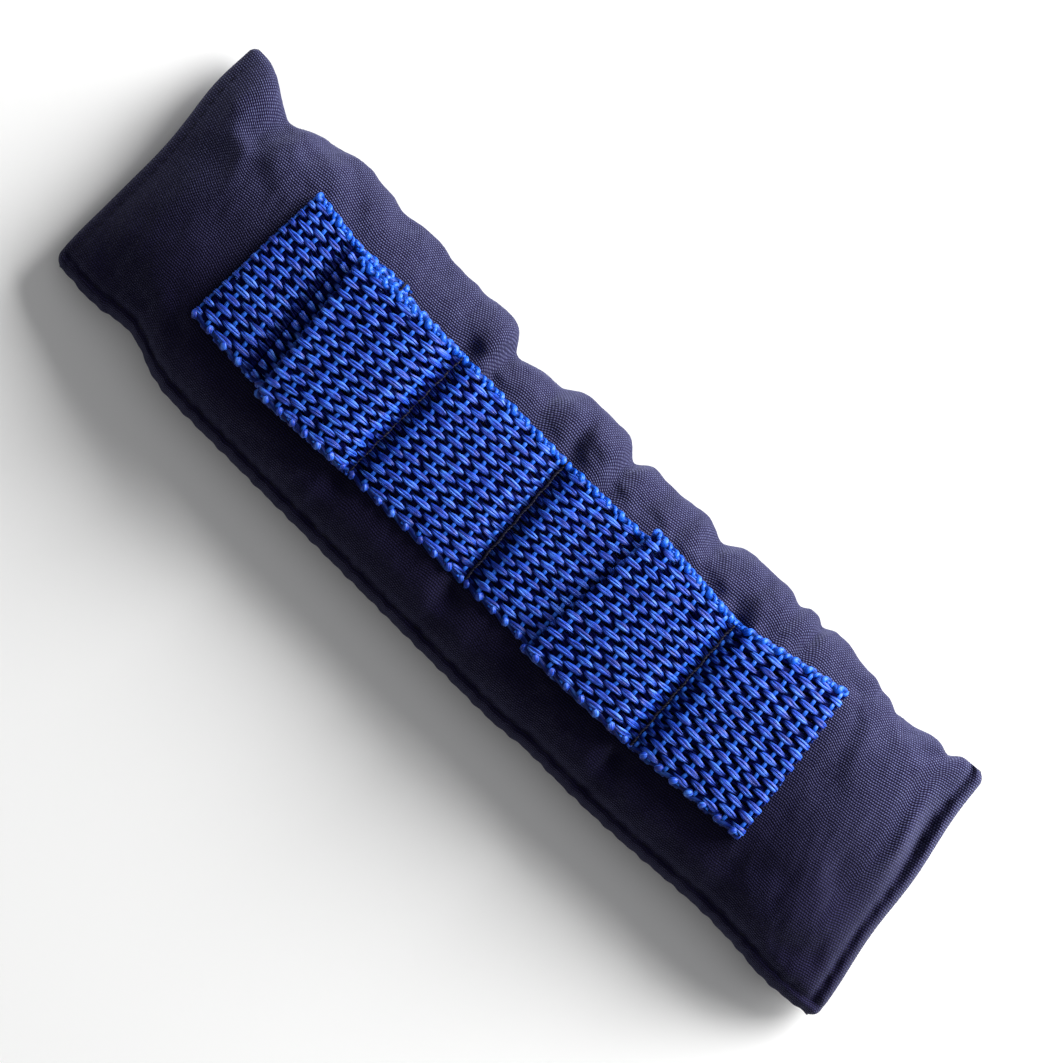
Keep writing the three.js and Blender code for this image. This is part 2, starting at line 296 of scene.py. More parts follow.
def add_node(tree: Tree, kind: str, settings: dict | None = None, inputs: dict | None = None) -> Node:
    """Adds a node with its settings and links.

    Args:
        tree: The material's node tree.
        kind: The node's type name without the word ShaderNode.
        settings: Properties to set on it.
        inputs: Values for its input sockets by name or number; a socket given as a value is linked.

    Returns:
        The node.
    """
    node = tree.nodes.new(f"ShaderNode{kind}")
    for name, value in (settings or {}).items():
        setattr(node, name, value)
    set_inputs(node, inputs or {})
    return node


def set_inputs(node: Node, inputs: dict) -> None:
    """Sets a node's input sockets by name or number; a socket given as a value is linked."""
    for name, value in inputs.items():
        if isinstance(value, bpy.types.NodeSocket):
            node.id_data.links.new(value, node.inputs[name])
        else:
            node.inputs[name].default_value = value


def new_material(name: str) -> tuple[bpy.types.Material, Node, Callable[..., Node]]:
    """A new material, its principled shader, and the function that adds nodes to its tree."""
    material = bpy.data.materials.new(name)
    material.use_nodes = True
    material.node_tree.nodes.clear()
    add = partial(add_node, material.node_tree)
    shader = add("BsdfPrincipled")
    add("OutputMaterial", None, {"Surface": shader.outputs["BSDF"]})
    return material, shader, add


def set_ramp(node: Node, stops: list[tuple[float, str]]) -> None:
    """Gives a colour ramp its stops, as (place, hex colour) pairs in rising order."""
    ramp = node.color_ramp
    while len(ramp.elements) < len(stops):
        ramp.elements.new(0.5)
    for element, (place, colour) in zip(ramp.elements, stops):
        element.position = place
        element.color = linear(colour)


@dataclass(frozen=True)
class CottonCanvas:
    """Navy cotton canvas, piece dyed and plain woven.

    The eye gets close ribs along the bag, each a row of small raised stitches with painted shade in its gaps
    and a painted highlight on its crest, a soft violet bloom at grazing angles from the fibre ends, a
    slightly uneven dye, and painted light that makes the folded side, where the light falls, lighter.
    """

    rib: float = 0.62  # mm from rib to rib, a little coarser than the real thread count so that it shows
    lit_side_start: float = -16.0  # mm of Y, where the painted light towards the folded side starts
    lit_side_end: float = 32.0  # where it is complete
    stitch: float = 0.3  # mm along a rib from a raised stitch to a sunk one, coarser for the same reason
    relief: float = 0.2  # mm
    # Painted light: the deepest colour is painted shade in the gaps between ribs; the two lightest are
    # painted highlights on the rib crests, the last of them along the folded side where the light falls.
    deep: str = "#04020f"
    dyed: str = "#110d2b"
    rib_highlight: str = "#28254a"
    lit_side_crest: str = "#63678b"  # crests of the ribs along the folded side, a painted highlight where the light falls on that side
    bloom: str = "#a0a4d0"

    def build(self) -> bpy.types.Material:
        """Makes the canvas from its own weave coordinates, in millimetres."""
        material, shader, add = new_material("cotton_canvas_plain_woven")
        weave = add("UVMap", {"uv_map": "weave"})
        split = add("SeparateXYZ", None, {0: weave.outputs["UV"]})
        wander = add("TexNoise", FLAT_NOISE, {"Vector": weave.outputs["UV"], "Scale": 0.55, "Detail": 2.0})
        drift = add("Math", {"operation": "MULTIPLY"}, {0: wander.outputs["Fac"], 1: 0.5 * self.rib})
        across = add("Math", {"operation": "ADD"}, {0: split.outputs["Y"], 1: drift.outputs[0]})
        rib_place = add("Math", {"operation": "DIVIDE"}, {0: across.outputs[0], 1: self.rib})
        rib_number = add("Math", {"operation": "FLOOR"}, {0: rib_place.outputs[0]})
        rib_share = add("Math", {"operation": "FRACT"}, {0: rib_place.outputs[0]})
        rib_angle = add("Math", {"operation": "MULTIPLY"}, {0: rib_share.outputs[0], 1: math.pi})
        rib_rise = add("Math", {"operation": "SINE"}, {0: rib_angle.outputs[0]})
        along = add("Math", {"operation": "DIVIDE"}, {0: split.outputs["X"], 1: self.stitch})
        phase = add("Math", {"operation": "ADD"}, {0: along.outputs[0], 1: rib_number.outputs[0]})
        turn = add("Math", {"operation": "MULTIPLY"}, {0: phase.outputs[0], 1: math.pi})
        beat = add("Math", {"operation": "COSINE"}, {0: turn.outputs[0]})
        bead = add("Math", {"operation": "MULTIPLY_ADD"}, {0: beat.outputs[0], 1: 0.24, 2: 0.76})
        thread = add("Math", {"operation": "MULTIPLY"}, {0: rib_rise.outputs[0], 1: bead.outputs[0]})
        slub = add("TexNoise", FLAT_NOISE, {"Vector": weave.outputs["UV"], "Scale": 2.3, "Detail": 3.0})
        uneven = add("Math", {"operation": "MULTIPLY_ADD"}, {0: slub.outputs["Fac"], 1: 0.7, 2: 0.62})
        height = add("Math", {"operation": "MULTIPLY"}, {0: thread.outputs[0], 1: uneven.outputs[0]})
        # The rib height paints shade into the gaps and a highlight on the crests; the second ramp paints the
        # same ribs as lit, for the folded side.
        unlit_ribs, pale = (add("ValToRGB", None, {"Fac": height.outputs[0]}) for _ in range(2))
        set_ramp(unlit_ribs, [(0.2, self.deep), (0.6, self.dyed), (1.0, self.rib_highlight)])
        set_ramp(pale, [(0.2, self.deep), (0.6, self.rib_highlight), (1.0, self.lit_side_crest)])
        place = add("TexCoord")
        middle = add("SeparateXYZ", None, {0: place.outputs["Object"]})
        # Painted light: towards the folded side, which the light falls on, the colour turns to the lit ramp,
        # unevenly by the wander noise.
        lit_side_share = add(
            "MapRange",
            {"interpolation_type": "SMOOTHSTEP"},
            {"Value": middle.outputs["Y"], "From Min": self.lit_side_start * MM, "From Max": self.lit_side_end * MM},
        )
        cloudy = add("Math", {"operation": "MULTIPLY_ADD"}, {0: wander.outputs["Fac"], 1: 0.5, 2: 0.75})
        fade = add("Math", {"operation": "MULTIPLY"}, {0: lit_side_share.outputs["Result"], 1: cloudy.outputs[0]})
        colours = {0: fade.outputs[0], COLOUR_A: unlit_ribs.outputs[0], COLOUR_B: pale.outputs[0]}
        cloth = add("Mix", COLOUR_MIX, colours)
        bump = add("Bump", None, {"Height": height.outputs[0], "Strength": 1.0, "Distance": self.relief * MM})
        looks = {
            "Base Color": cloth.outputs[COLOUR_OUT],
            "Normal": bump.outputs["Normal"],
            "Roughness": 0.88,
            "Specular IOR Level": 0.1,
            "Sheen Weight": 0.3,
            "Sheen Roughness": 0.42,
            "Sheen Tint": linear(self.bloom),
        }
        set_inputs(shader, looks)
        return material


@dataclass(frozen=True)
class PolypropyleneYarn:
    """Royal blue polypropylene multifilament, spun dyed and woven loosely into webbing.

    The eye gets lens-shaped floats with fine lengthwise filaments and a satin gleam, brighter azure filling
    and selvedge yarns, and painted shade that leaves almost no colour in the gaps.
    """

    filament: float = 0.42  # mm across a bundle of filaments, coarser than one filament so that it shows
    lengthwise: float = 0.22  # changes of shade per mm along a filament
    relief: float = 0.2  # mm
    warp_dark: str = "#10277f"
    warp: str = "#1742bc"
    warp_pale: str = "#4076de"
    filling: str = "#1a66da"
    selvedge: str = "#0560e6"
    # Painted shade: the colour of the sunk parts of the weave.
    gap_shade: str = "#03012c"

    def build(self) -> bpy.types.Material:
        """Makes the yarn from its own weave coordinates and its tint attribute."""
        material, shader, add = new_material("polypropylene_multifilament_woven")
        weave = add("UVMap", {"uv_map": "weave"})
        scale = (self.lengthwise, 1.0 / self.filament, 1.0)
        stretch = add("Mapping", None, {"Vector": weave.outputs["UV"], "Scale": scale})
        strands = add("TexNoise", FLAT_NOISE, {"Vector": stretch.outputs[0], "Scale": 1.0, "Detail": 2.0})
        patch = add("TexNoise", FLAT_NOISE, {"Vector": weave.outputs["UV"], "Scale": 0.35, "Detail": 1.0})
        blend = add("Math", {"operation": "MULTIPLY_ADD"}, {0: patch.outputs["Fac"], 1: 0.9, 2: -0.45})
        total = add("Math", {"operation": "ADD"}, {0: strands.outputs["Fac"], 1: blend.outputs[0]})
        warp = add("ValToRGB", None, {"Fac": total.outputs[0]})
        set_ramp(warp, [(0.3, self.warp_dark), (0.5, self.warp), (0.75, self.warp_pale)])
        tint = add("Attribute", {"attribute_name": "tint"})
        kind = add("ValToRGB", None, {"Fac": tint.outputs["Fac"]})
        set_ramp(kind, [(0.0, "#000000"), (0.5, self.filling), (1.0, self.selvedge)])
        chosen = add("Math", {"operation": "GREATER_THAN"}, {0: tint.outputs["Fac"], 1: 0.25})
        share = add("Math", {"operation": "MULTIPLY"}, {0: chosen.outputs[0], 1: 0.8})
        colours = {0: share.outputs[0], COLOUR_A: warp.outputs[0], COLOUR_B: kind.outputs[0]}
        yarn = add("Mix", COLOUR_MIX, colours)
        # Painted shade: the depth attribute turns the sunk parts of the weave towards the shade colour and
        # takes away their gleam.
        depth = add("Attribute", {"attribute_name": "depth"})
        shaded = {0: depth.outputs["Fac"], COLOUR_A: yarn.outputs[COLOUR_OUT], COLOUR_B: linear(self.gap_shade)}
        shade = add("Mix", COLOUR_MIX, shaded)
        relief = {"Height": strands.outputs[0], "Strength": 1.0, "Distance": self.relief * MM}
        bump = add("Bump", None, relief)
        gleam = add("Math", {"operation": "MULTIPLY_ADD"}, {0: depth.outputs["Fac"], 1: -0.4, 2: 0.4})
        looks = {
            "Base Color": shade.outputs[COLOUR_OUT],
            "Normal": bump.outputs["Normal"],
            "Specular IOR Level": gleam.outputs[0],
            "Roughness": 0.46,
        }
        set_inputs(shader, looks)
        return material


@dataclass(frozen=True)
class PolyesterThread:
    """Navy polyester sewing thread, twisted and waxed: nearly black, with a few pale glints."""

    relief: float = 0.05  # mm
    colour: str = "#04030d"
    glint: str = "#1b1b38"

    def build(self) -> bpy.types.Material:
        """Makes the thread, with its fibres along the yarn."""
        material, shader, add = new_material("polyester_thread_twisted")
        weave = add("UVMap", {"uv_map": "weave"})
        stretch = add("Mapping", None, {"Vector": weave.outputs["UV"], "Scale": (0.8, 6.0, 1.0)})
        fibres = add("TexNoise", FLAT_NOISE, {"Vector": stretch.outputs[0], "Scale": 1.0, "Detail": 2.0})
        ramp = add("ValToRGB", None, {"Fac": fibres.outputs["Fac"]})
        set_ramp(ramp, [(0.35, self.colour), (0.78, self.glint)])
        bump = add("Bump", None, {"Height": fibres.outputs[0], "Strength": 0.5, "Distance": self.relief * MM})
        looks = {
            "Base Color": ramp.outputs["Color"],
            "Normal": bump.outputs["Normal"],
            "Roughness": 0.6,
            "Specular IOR Level": 0.2,
        }
        set_inputs(shader, looks)
        return material


@dataclass(frozen=True)
class MattCard:
    """White matt card of the studio floor: plain and pale."""

    colour: str = "#f6f6f5"

    def build(self) -> bpy.types.Material:
        """Makes the card."""
        material, shader, _ = new_material("matt_card_pressed")
        set_inputs(shader, {"Base Color": linear(self.colour), "Roughness": 0.9})
        return material


# ---- Bag --------------------------------------------------------------------------------------


@dataclass(frozen=True)
class Row:
    """A straight line across the bag: X at its middle and X per millimetre of Y."""

    x: float
    skew: float = 0.0

    def offset(self, x: Array, y: Array) -> Array:
        """Millimetres of X from the line to each point."""
        return x - self.x - self.skew * y

    def beside(self, reach: float, height: float) -> tuple[tuple[float, ...], tuple[float, ...]]:
        """Points in metres this far to the left and the right of the line's middle, square to the line."""
        centre = np.array([self.x, 0.0, height])
        across = np.array([1.0, -self.skew, 0.0]) / math.hypot(1.0, self.skew) * reach
        return tuple((centre - across) * MM), tuple((centre + across) * MM)

    @classmethod
    def of_joint(cls, name: str) -> "Row":
        """The hinge line of one of the part's joints, which lies across the bag."""
        joint = next(j for j in frame["joints"] if j["name"] == name)
        skew = joint["axis"][0] / joint["axis"][1]
        x, y = joint["pos_m"][0] / MM, joint["pos_m"][1] / MM
        return cls(x - skew * y, skew)


@dataclass(frozen=True)
class Dip:
    """A place where a long side's outline is drawn in."""

    x: float
    depth: float
    spread_left: float
    spread_right: float

    def at(self, x: Array) -> Array:
        """How far the outline is drawn in: a bell with its own spread on each side."""
        spread = np.where(x < self.x, self.spread_left, self.spread_right)
        return self.depth * bell((x - self.x) / spread)


@dataclass(frozen=True)
class Crease:
    """A valley pressed into the cloth between two points in plan, with a soft swell on each side."""

    start: tuple[float, float]
    end: tuple[float, float]
    depth: float
    spread: float
    swell: float = 0.45

    def at(self, x: Array, y: Array) -> Array:
        """Depth at each point: a narrow bell less a wide one across the line, faded at both ends."""
        start, end = np.array(self.start), np.array(self.end)
        length = float(np.linalg.norm(end - start))
        along_x, along_y = (end - start) / length
        run = ((x - start[0]) * along_x + (y - start[1]) * along_y) / length
        off = (x - start[0]) * -along_y + (y - start[1]) * along_x
        fade = smooth(run / 0.3 + 0.4) * smooth((1.0 - run) / 0.3 + 0.6)
        valley = bell(off / self.spread) - self.swell * bell(off / (2.4 * self.spread))
        return self.depth * fade * valley


class Face(Enum):
    """The two plies of the bag."""

    TOP = auto()
    BASE = auto()


@dataclass
class Bag:
    """The stuffed canvas bag and its shape.

    Across the bag runs from -1 at the stitched side to 1 at the folded side. The top stands on the middle
    height of the edges by a fullness that is 1 along the middle and falls to 0 at all four edges.
    """

    material: bpy.types.Material
    left_end: float = -120.9  # X on the line where Y is 0
    right_end: float = 117.9
    left_skew: float = -0.03  # X per millimetre of Y
    right_skew: float = -0.17
    fold_side: float = 33.3
    seam_side: float = -34.4
    fold_corner_flare: float = 2.6  # how far the folded side stands out at its corners
    seam_corner_tuck: float = 3.6  # how far the stitched side is drawn in at its corners
    left_corner_radii: tuple[float, float] = (3.2, 1.8)  # at the stitched side and at the folded side
    right_corner_radii: tuple[float, float] = (3.0, 2.5)
    corner_start: float = 92.0
    height: float = 24.0
    edge_height: float = 10.0  # of the middle of the long sides
    end_height: float = 5.0  # of the middle of the ends
    flange: float = 2.4  # thickness of the turned edges
    end_taper: float = 36.0  # over which the top rises from an end
    base_taper: float = 22.0  # over which the base falls to the floor
    row_groove: float = 2.4  # depth of the groove under a row of stitches
    groove_spread: float = 2.3
    webbing_half: float = 19.0  # half its width
    webbing_reach: float = 84.0  # half its length
    webbing_middle: tuple[float, float] = (-5.0, 1.5)
    hinge_reach: float = 13.0  # over which the cloth turns on each side of a hinge line
    slack: float = 0.02  # how much longer the loose cloth is than the space that it fills
    pressure: float = 1.6  # of the filling in the simulation
    settling: float = 2.4  # the farthest that the cloth may move as it settles
    simulated_stations: int = 161
    simulated_columns: int = 44
    stations: int = 481
    columns: int = 150
    rows: list[Row] = field(default_factory=list)
    hinges: list[Row] = field(default_factory=list)
    fold_dips: tuple[Dip, ...] = (
        Dip(-103.6, 4.6, 5.0, 4.5),
        Dip(-93.5, 2.0, 5.5, 5.0),
        Dip(-70.5, 0.9, 3.0, 3.0),
        Dip(-51.0, 1.2, 6.0, 3.0),
        Dip(-44.5, 0.9, 2.0, 2.0),
        Dip(-30.8, 4.4, 1.9, 4.0),
        Dip(-18.5, 3.3, 7.0, 3.0),
        Dip(5.2, 3.2, 2.2, 2.0),
        Dip(14.5, 1.9, 5.0, 7.0),
        Dip(31.6, 2.4, 2.6, 3.0),
        Dip(54.6, 1.4, 1.6, 1.2),
        Dip(61.6, 1.6, 1.2, 1.5),
        Dip(74.0, 1.0, 2.4, 2.4),
        Dip(81.2, 1.6, 1.8, 1.6),
        Dip(88.0, 2.1, 3.0, 7.0),
        Dip(102.2, 1.3, 1.6, 1.4),
        Dip(-88.0, -1.3, 9.0, 7.0),
        Dip(63.0, -1.5, 16.0, 16.0),
    )
    seam_dips: tuple[Dip, ...] = (
        Dip(-96.0, 3.6, 7.0, 6.0),
        Dip(35.0, 1.0, 5.0, 12.0),
        Dip(80.0, 1.7, 12.0, 14.0),
        Dip(97.0, 2.3, 12.0, 7.0),
        Dip(60.0, 0.8, 10.0, 12.0),
    )
    creases: tuple[Crease, ...] = (
        Crease((-107.5, 19.0), (-103.4, 34.0), 3.4, 3.4),
        Crease((-96.0, 25.0), (-92.0, 33.0), 1.2, 2.6),
        Crease((-33.8, 21.5), (-29.8, 33.0), 3.4, 1.9, 0.7),
        Crease((-20.0, 25.0), (-17.0, 33.0), 1.6, 2.8),
        Crease((-6.4, 20.5), (-8.2, 30.0), 1.9, 1.6, 0.6),
        Crease((3.0, 24.0), (5.4, 33.0), 2.4, 1.7, 0.6),
        Crease((13.0, 22.0), (16.5, 33.0), 1.2, 1.5),
        Crease((22.4, 23.5), (24.0, 32.0), 2.0, 1.9, 0.7),
        Crease((29.5, 25.0), (31.4, 33.0), 1.4, 2.0),
        Crease((43.0, 22.0), (46.0, 32.5), 2.6, 1.9, 0.7),
        Crease((52.0, 23.0), (55.0, 34.0), 1.5, 1.5),
        Crease((59.5, 25.0), (61.6, 34.0), 1.5, 1.4),
        Crease((77.5, 28.0), (81.0, 34.0), 1.3, 1.8),
        Crease((84.0, 25.0), (94.0, 33.0), 1.2, 3.2),
        Crease((96.0, 27.5), (102.6, 34.0), 1.5, 1.6),
        Crease((-118.6, -15.0), (-117.0, 9.0), 1.3, 2.2),
        Crease((-113.0, -24.0), (-96.0, -20.0), 1.6, 4.0),
        Crease((-92.0, -32.0), (-88.0, -20.0), 1.3, 2.6),
        Crease((-47.0, -33.0), (-42.0, -20.0), 1.0, 2.6),
        Crease((-38.6, -33.0), (-38.0, -19.0), 1.5, 2.4),
        Crease((-2.5, -33.0), (-2.6, -18.0), 1.5, 2.6),
        Crease((12.0, -33.0), (9.0, -22.0), 0.8, 2.4),
        Crease((30.0, -32.0), (27.0, -21.0), 1.0, 2.4),
        Crease((49.0, -32.0), (50.0, -17.5), 1.6, 2.4),
        Crease((72.0, -31.0), (70.0, -18.0), 0.9, 2.8),
        Crease((88.0, -30.0), (84.0, -18.0), 1.3, 3.4),
        Crease((103.0, -25.0), (114.0, -20.0), 1.4, 3.4),
    )

    def plan(self, across: Array, along: Array) -> tuple[Array, Array]:
        """Plan position of points on the bag.

        The sides' Y comes from the straight X; the point lies between them by its across value, and between
        the skewed ends by its share along the bag.

        Args:
            across: From -1 to 1.
            along: From 0 to 1.

        Returns:
            X and Y.
        """
        straight = mix(self.left_end, self.right_end, along)
        y = mix(self.seam_at(straight), self.fold_at(straight), (across + 1.0) / 2.0)
        left, right = self.ends_at(y)
        return mix(left, right, along), y

    def ends_at(self, y: Array) -> tuple[Array, Array]:
        """X of the left end seam, which waves a little, and of the right end seam, at this Y."""
        wave = -1.0 * bell((y - 24.0) / 7.0) + 0.5 * bell((y - 4.0) / 8.0) - 0.4 * bell((y + 24.0) / 6.0)
        left = self.left_end + self.left_skew * y + wave
        right = self.right_end + self.right_skew * y + 0.35 * np.sin(y / 5.2)
        from_seam = y - self.seam_side - self.seam_corner_tuck
        from_fold = self.fold_side + self.fold_corner_flare - y
        for distance, left_radius, right_radius in zip(
            (from_seam, from_fold), self.left_corner_radii, self.right_corner_radii
        ):
            left = left + rounding(distance, left_radius)
            right = right - rounding(distance, right_radius)
        return left, right

    def corner_share(self, x: Array) -> Array:
        """Share of the way into a corner: 0 along the middle of the bag, 1 at its ends."""
        return np.clip((np.abs(x) - self.corner_start) / (self.right_end - self.corner_start), 0.0, 1.0)

    def shown_at(self, x: Array, y: float) -> Array:
        """X in plan, on a line along the bag at this Y, of points given by their straight X."""
        share = (x - self.left_end) / (self.right_end - self.left_end)
        return x + y * mix(self.left_skew, self.right_skew, share)

    def fold_at(self, x: Array) -> Array:
        """Y of the folded side: straight, flared at the corners, less every dip."""
        flare = self.fold_corner_flare * self.corner_share(x) ** 0.8
        shown = self.shown_at(x, self.fold_side)
        return self.fold_side + flare - sum(dip.at(shown) for dip in self.fold_dips)

    def seam_at(self, x: Array) -> Array:
        """Y of the stitched side: straight, tucked at the corners, plus dips and stitches' gathers."""
        gathers = 0.18 * np.sin(x * 2.0 * math.pi / 4.5) * np.sin(x * 0.31)
        tuck = self.seam_corner_tuck * self.corner_share(x)
        shown = self.shown_at(x, self.seam_side)
        return self.seam_side + tuck + sum(dip.at(shown) for dip in self.seam_dips) + gathers

    def off_webbing(self, x: Array, y: Array) -> tuple[Array, Array]:
        """How far points lie outside the webbing's long edges and outside its ends; negative within them."""
        x_middle, y_middle = self.webbing_middle
        return np.abs(y - y_middle) - self.webbing_half, np.abs(x - x_middle) - self.webbing_reach

    def share_along(self, x: Array, y: Array) -> Array:
        """Share along the bag of a point in plan."""
        left, right = self.ends_at(y)
        return (x - left) / (right - left)

    def seam_beside(self, x: Array, y: Array) -> Array:
        """Y of the stitched side beside a point in plan."""
        return self.seam_at(mix(self.left_end, self.right_end, self.share_along(x, y)))

    def height_at(self, x: Array, y: Array, across: Array, face: Face) -> Array:
        """Height of one ply of the bag.

        The middle height of the edges plus or minus half the flange, plus the fullness across times the
        fullness from the ends, less the row grooves, the creases, and the turned edges' grooves with their
        gathers.

        Args:
            x: X of each point.
            y: Y of each point.
            across: From -1 to 1.
            face: The top or the base.

        Returns:
            Heights above the leg face.
        """
        left, right = self.ends_at(y)
        from_left, from_right = x - left, right - x
        from_end = np.minimum(from_left, from_right)
        from_seam = y - self.seam_beside(x, y)
        share = np.clip(from_end / self.end_taper, 0.0, 1.0)
        full = (1.0 - (1.0 - share) ** 2.2) ** 0.75
        base_full = 1.0 - (1.0 - np.clip(from_end / self.base_taper, 0.0, 1.0)) ** 2
        middle = mix(self.end_height, self.edge_height, full)
        lip = np.clip(np.minimum(from_end, from_seam) / 1.2, 0.0, 1.0)
        half = mix(0.3, self.flange / 2.0, np.sqrt(1.0 - (1.0 - lip) ** 2))
        if face is Face.BASE:
            fullness = (1.0 - np.abs(across) ** 4) ** 0.6
            drop = self.edge_height + 1.5 - self.flange / 2.0
            base = middle - half - drop * fullness * base_full
            return np.maximum(base, 0.0)
        blunt = np.where(across > 0, 3.2, 2.8)
        power = np.where(across > 0, 0.5, 0.7)
        fullness = np.maximum(1.0 - np.abs(across) ** blunt, 0.0) ** power
        rise = self.height - self.edge_height - self.flange / 2.0
        top = middle + half + rise * fullness * full
        return top - self.pressed(x, y, from_seam, from_left, from_right, fullness * full)

    def pressed(
        self, x: Array, y: Array, from_seam: Array, from_left: Array, from_right: Array, full: Array
    ) -> Array:
        """How far the top is pressed down below its smooth shape.

        Args:
            x: X of each point.
            y: Y of each point.
            from_seam: Distance from the stitched side.
            from_left: Distance from the left end.
            from_right: Distance from the right end.
            full: Fullness of the top there, which limits how deep a crease can go.

        Returns:
            Depth in millimetres.
        """
        depth = np.zeros(np.broadcast(x, y).shape)
        room = np.clip(full * 2.5, 0.0, 1.0)
        beside = smooth((self.webbing_half + 9.0 - np.abs(y - 1.0)) / 9.0)
        for row in self.rows:
            off = row.offset(x, y)
            depth += beside * (self.row_groove * bell(off / self.groove_spread) + 0.5 * bell(off / 9.0))
        off_edge, off_end = self.off_webbing(x, y)
        beyond = np.maximum(smooth((off_edge + 1.0) / 3.5), smooth(off_end / 4.0))
        for crease in self.creases:
            depth += crease.at(x, y) * beyond * room
        gather = 1.0 + 0.16 * np.sin(x * 2.0 * math.pi / 7.5 + 1.3 * np.sin(x * 0.11))
        depth += gather * (0.95 * bell((from_seam - 3.3) / 0.75) - 0.35 * bell((from_seam - 1.7) / 0.9))
        rolled = smooth((from_seam - 2.0) / 4.0)
        pleat = 1.0 + 0.15 * np.sin(y * 2.0 * math.pi / 6.1 + 1.2 * np.sin(y * 0.3))
        turned_edge = 1.5 * bell((from_right - 3.4) / 0.8) - 0.75 * bell((from_right - 1.5) / 0.9)
        depth += rolled * pleat * turned_edge
        hollow = bell((y - 15.0) / 7.5)
        depth += rolled * 4.0 * hollow * bell((from_right - 4.5) / 1.3)
        depth -= 2.2 * (hollow + 0.3 * bell((y + 12.0) / 8.0)) * bell((from_right - 7.2) / 1.7)
        depth += 0.3 * bell((from_left - 2.6) / 0.7)
        return depth

    def top_at(self, x: Array, y: Array) -> Array:
        """Height of the bag's top at a point in plan."""
        straight = mix(self.left_end, self.right_end, self.share_along(x, y))
        seam, fold = self.seam_at(straight), self.fold_at(straight)
        across = np.clip(2.0 * (y - seam) / (fold - seam) - 1.0, -1.0, 1.0)
        return self.height_at(x, y, across, Face.TOP)

    def surface(self, stations: int, columns: int) -> Array:
        """The whole closed surface.

        Each station is a ring: over the top from the stitched side to the folded side, then back under the
        base. Across is minus the cosine of an even angle, which crowds the columns towards the edges.

        Args:
            stations: Rings along the bag.
            columns: Points on each ply of a ring.

        Returns:
            Points, stations by twice the columns by 3.
        """
        angle = np.linspace(0.0, math.pi, columns)
        across = np.concatenate([-np.cos(angle), np.cos(angle)])[None, :]
        along = np.linspace(0.0, 1.0, stations)[:, None]
        across, along = np.broadcast_arrays(across, along)
        x, y = self.plan(across, along)
        top = self.height_at(x[:, :columns], y[:, :columns], across[:, :columns], Face.TOP)
        base = self.height_at(x[:, columns:], y[:, columns:], across[:, columns:], Face.BASE)
        base = np.minimum(base, top[:, ::-1] - 0.4)
        return np.stack([x, y, np.concatenate([top, np.maximum(base, 0.0)], 1)], -1)

    def wrinkles(self, points: Array) -> Array:
        """Small unevenness of loose cloth over shot, in and out along the surface's own normals.

        Args:
            points: The closed surface.

        Returns:
            The uneven surface, still within a few tenths of a millimetre.
        """
        shape = points.shape[:2]
        lumps = 0.28 * low_noise(shape, (60, 20), 11) + 0.14 * low_noise(shape, (130, 44), 12)
        x, y, z = points[..., 0], points[..., 1], points[..., 2]
        left, right = self.ends_at(y)
        from_end, from_seam = np.minimum(x - left, right - x), y - self.seam_beside(x, y)
        inner = smooth((from_end - 3.0) / 8.0) * smooth((from_seam - 4.0) / 4.0)
        off_floor = smooth((z - 0.6) / 3.0)
        off_edge, off_end = self.off_webbing(x, y)
        under_webbing = (1.0 - smooth(off_edge / 4.0)) * (1.0 - smooth(off_end / 4.0)) * (z > 15.0)
        share = inner * off_floor * (1.0 - under_webbing)
        return points + (lumps * share)[..., None] * grid_normals(points)

    def cloth_coordinates(self, points: Array) -> Array:
        """Millimetres along and across the cloth at each point of the surface.

        Along is X; across is the length of cloth from the stitched side, summed round each ring.

        Args:
            points: The closed surface.

        Returns:
            Stations by columns by 2.
        """
        steps = np.linalg.norm(np.diff(points, axis=1, prepend=points[:, :1]), axis=-1)
        run = low_pass(np.cumsum(steps, axis=1), 40)
        return np.stack([points[..., 0] + 200.0, run + 20.0], -1)

    def build(self) -> list[bpy.types.Object]:
        """Returns:
            The pieces, from the left end to the right end.
        """
        points = self.surface(self.stations, self.columns)
        points = self.settled(points)
        points = self.wrinkles(points)
        points[..., 2] = np.maximum(points[..., 2], 0.0)
        normals = grid_normals(points)
        weave = self.cloth_coordinates(points)
        middle = points[:, self.columns // 2, 0]
        cuts = [0, *(int(np.argmin(np.abs(middle - join))) for join in self.joins()), self.stations - 1]
        pieces = []
        for number, (first, last) in enumerate(zip(cuts[:-1], cuts[1:]), start=1):
            lengths = (grid[first : last + 1] for grid in (points, normals, weave))
            pieces.append(self.cover_piece(number, *lengths))
        return pieces

    def cover_piece(self, number: int, points: Array, normals: Array, weave: Array) -> bpy.types.Object:
        """One piece of the cover, closed at both ends by faces from ply to ply.

        Args:
            number: 1 at the left end to 5 at the right end.
            points: Its part of the surface.
            normals: The whole surface's normals there, so that neighbours shade as one cloth.
            weave: Its cloth coordinates.

        Returns:
            The piece, with its placement baked into its mesh.
        """
        rings, around = points.shape[:2]
        faces = sack_faces(rings, around)
        shell = plain_shell(points.reshape(-1, 3), faces, weave.reshape(-1, 2), normals.reshape(-1, 3))
        name = f"canvas_cover_{number}"
        piece = facing_out(shell).to_object(name, self.material)
        nodes = [f"cover_length_{number}", f"liner_length_{number}", f"shot_fill_{number}", f"bend_{number}"]
        if number == len(self.hinges):
            nodes += [f"{kind}_{number + 1}" for kind in ("cover_length", "liner_length", "shot_fill")]
        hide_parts(*nodes)
        self.blend_over_hinge(piece, number)
        LOG.info("%s: %d faces", name, len(faces))
        return piece

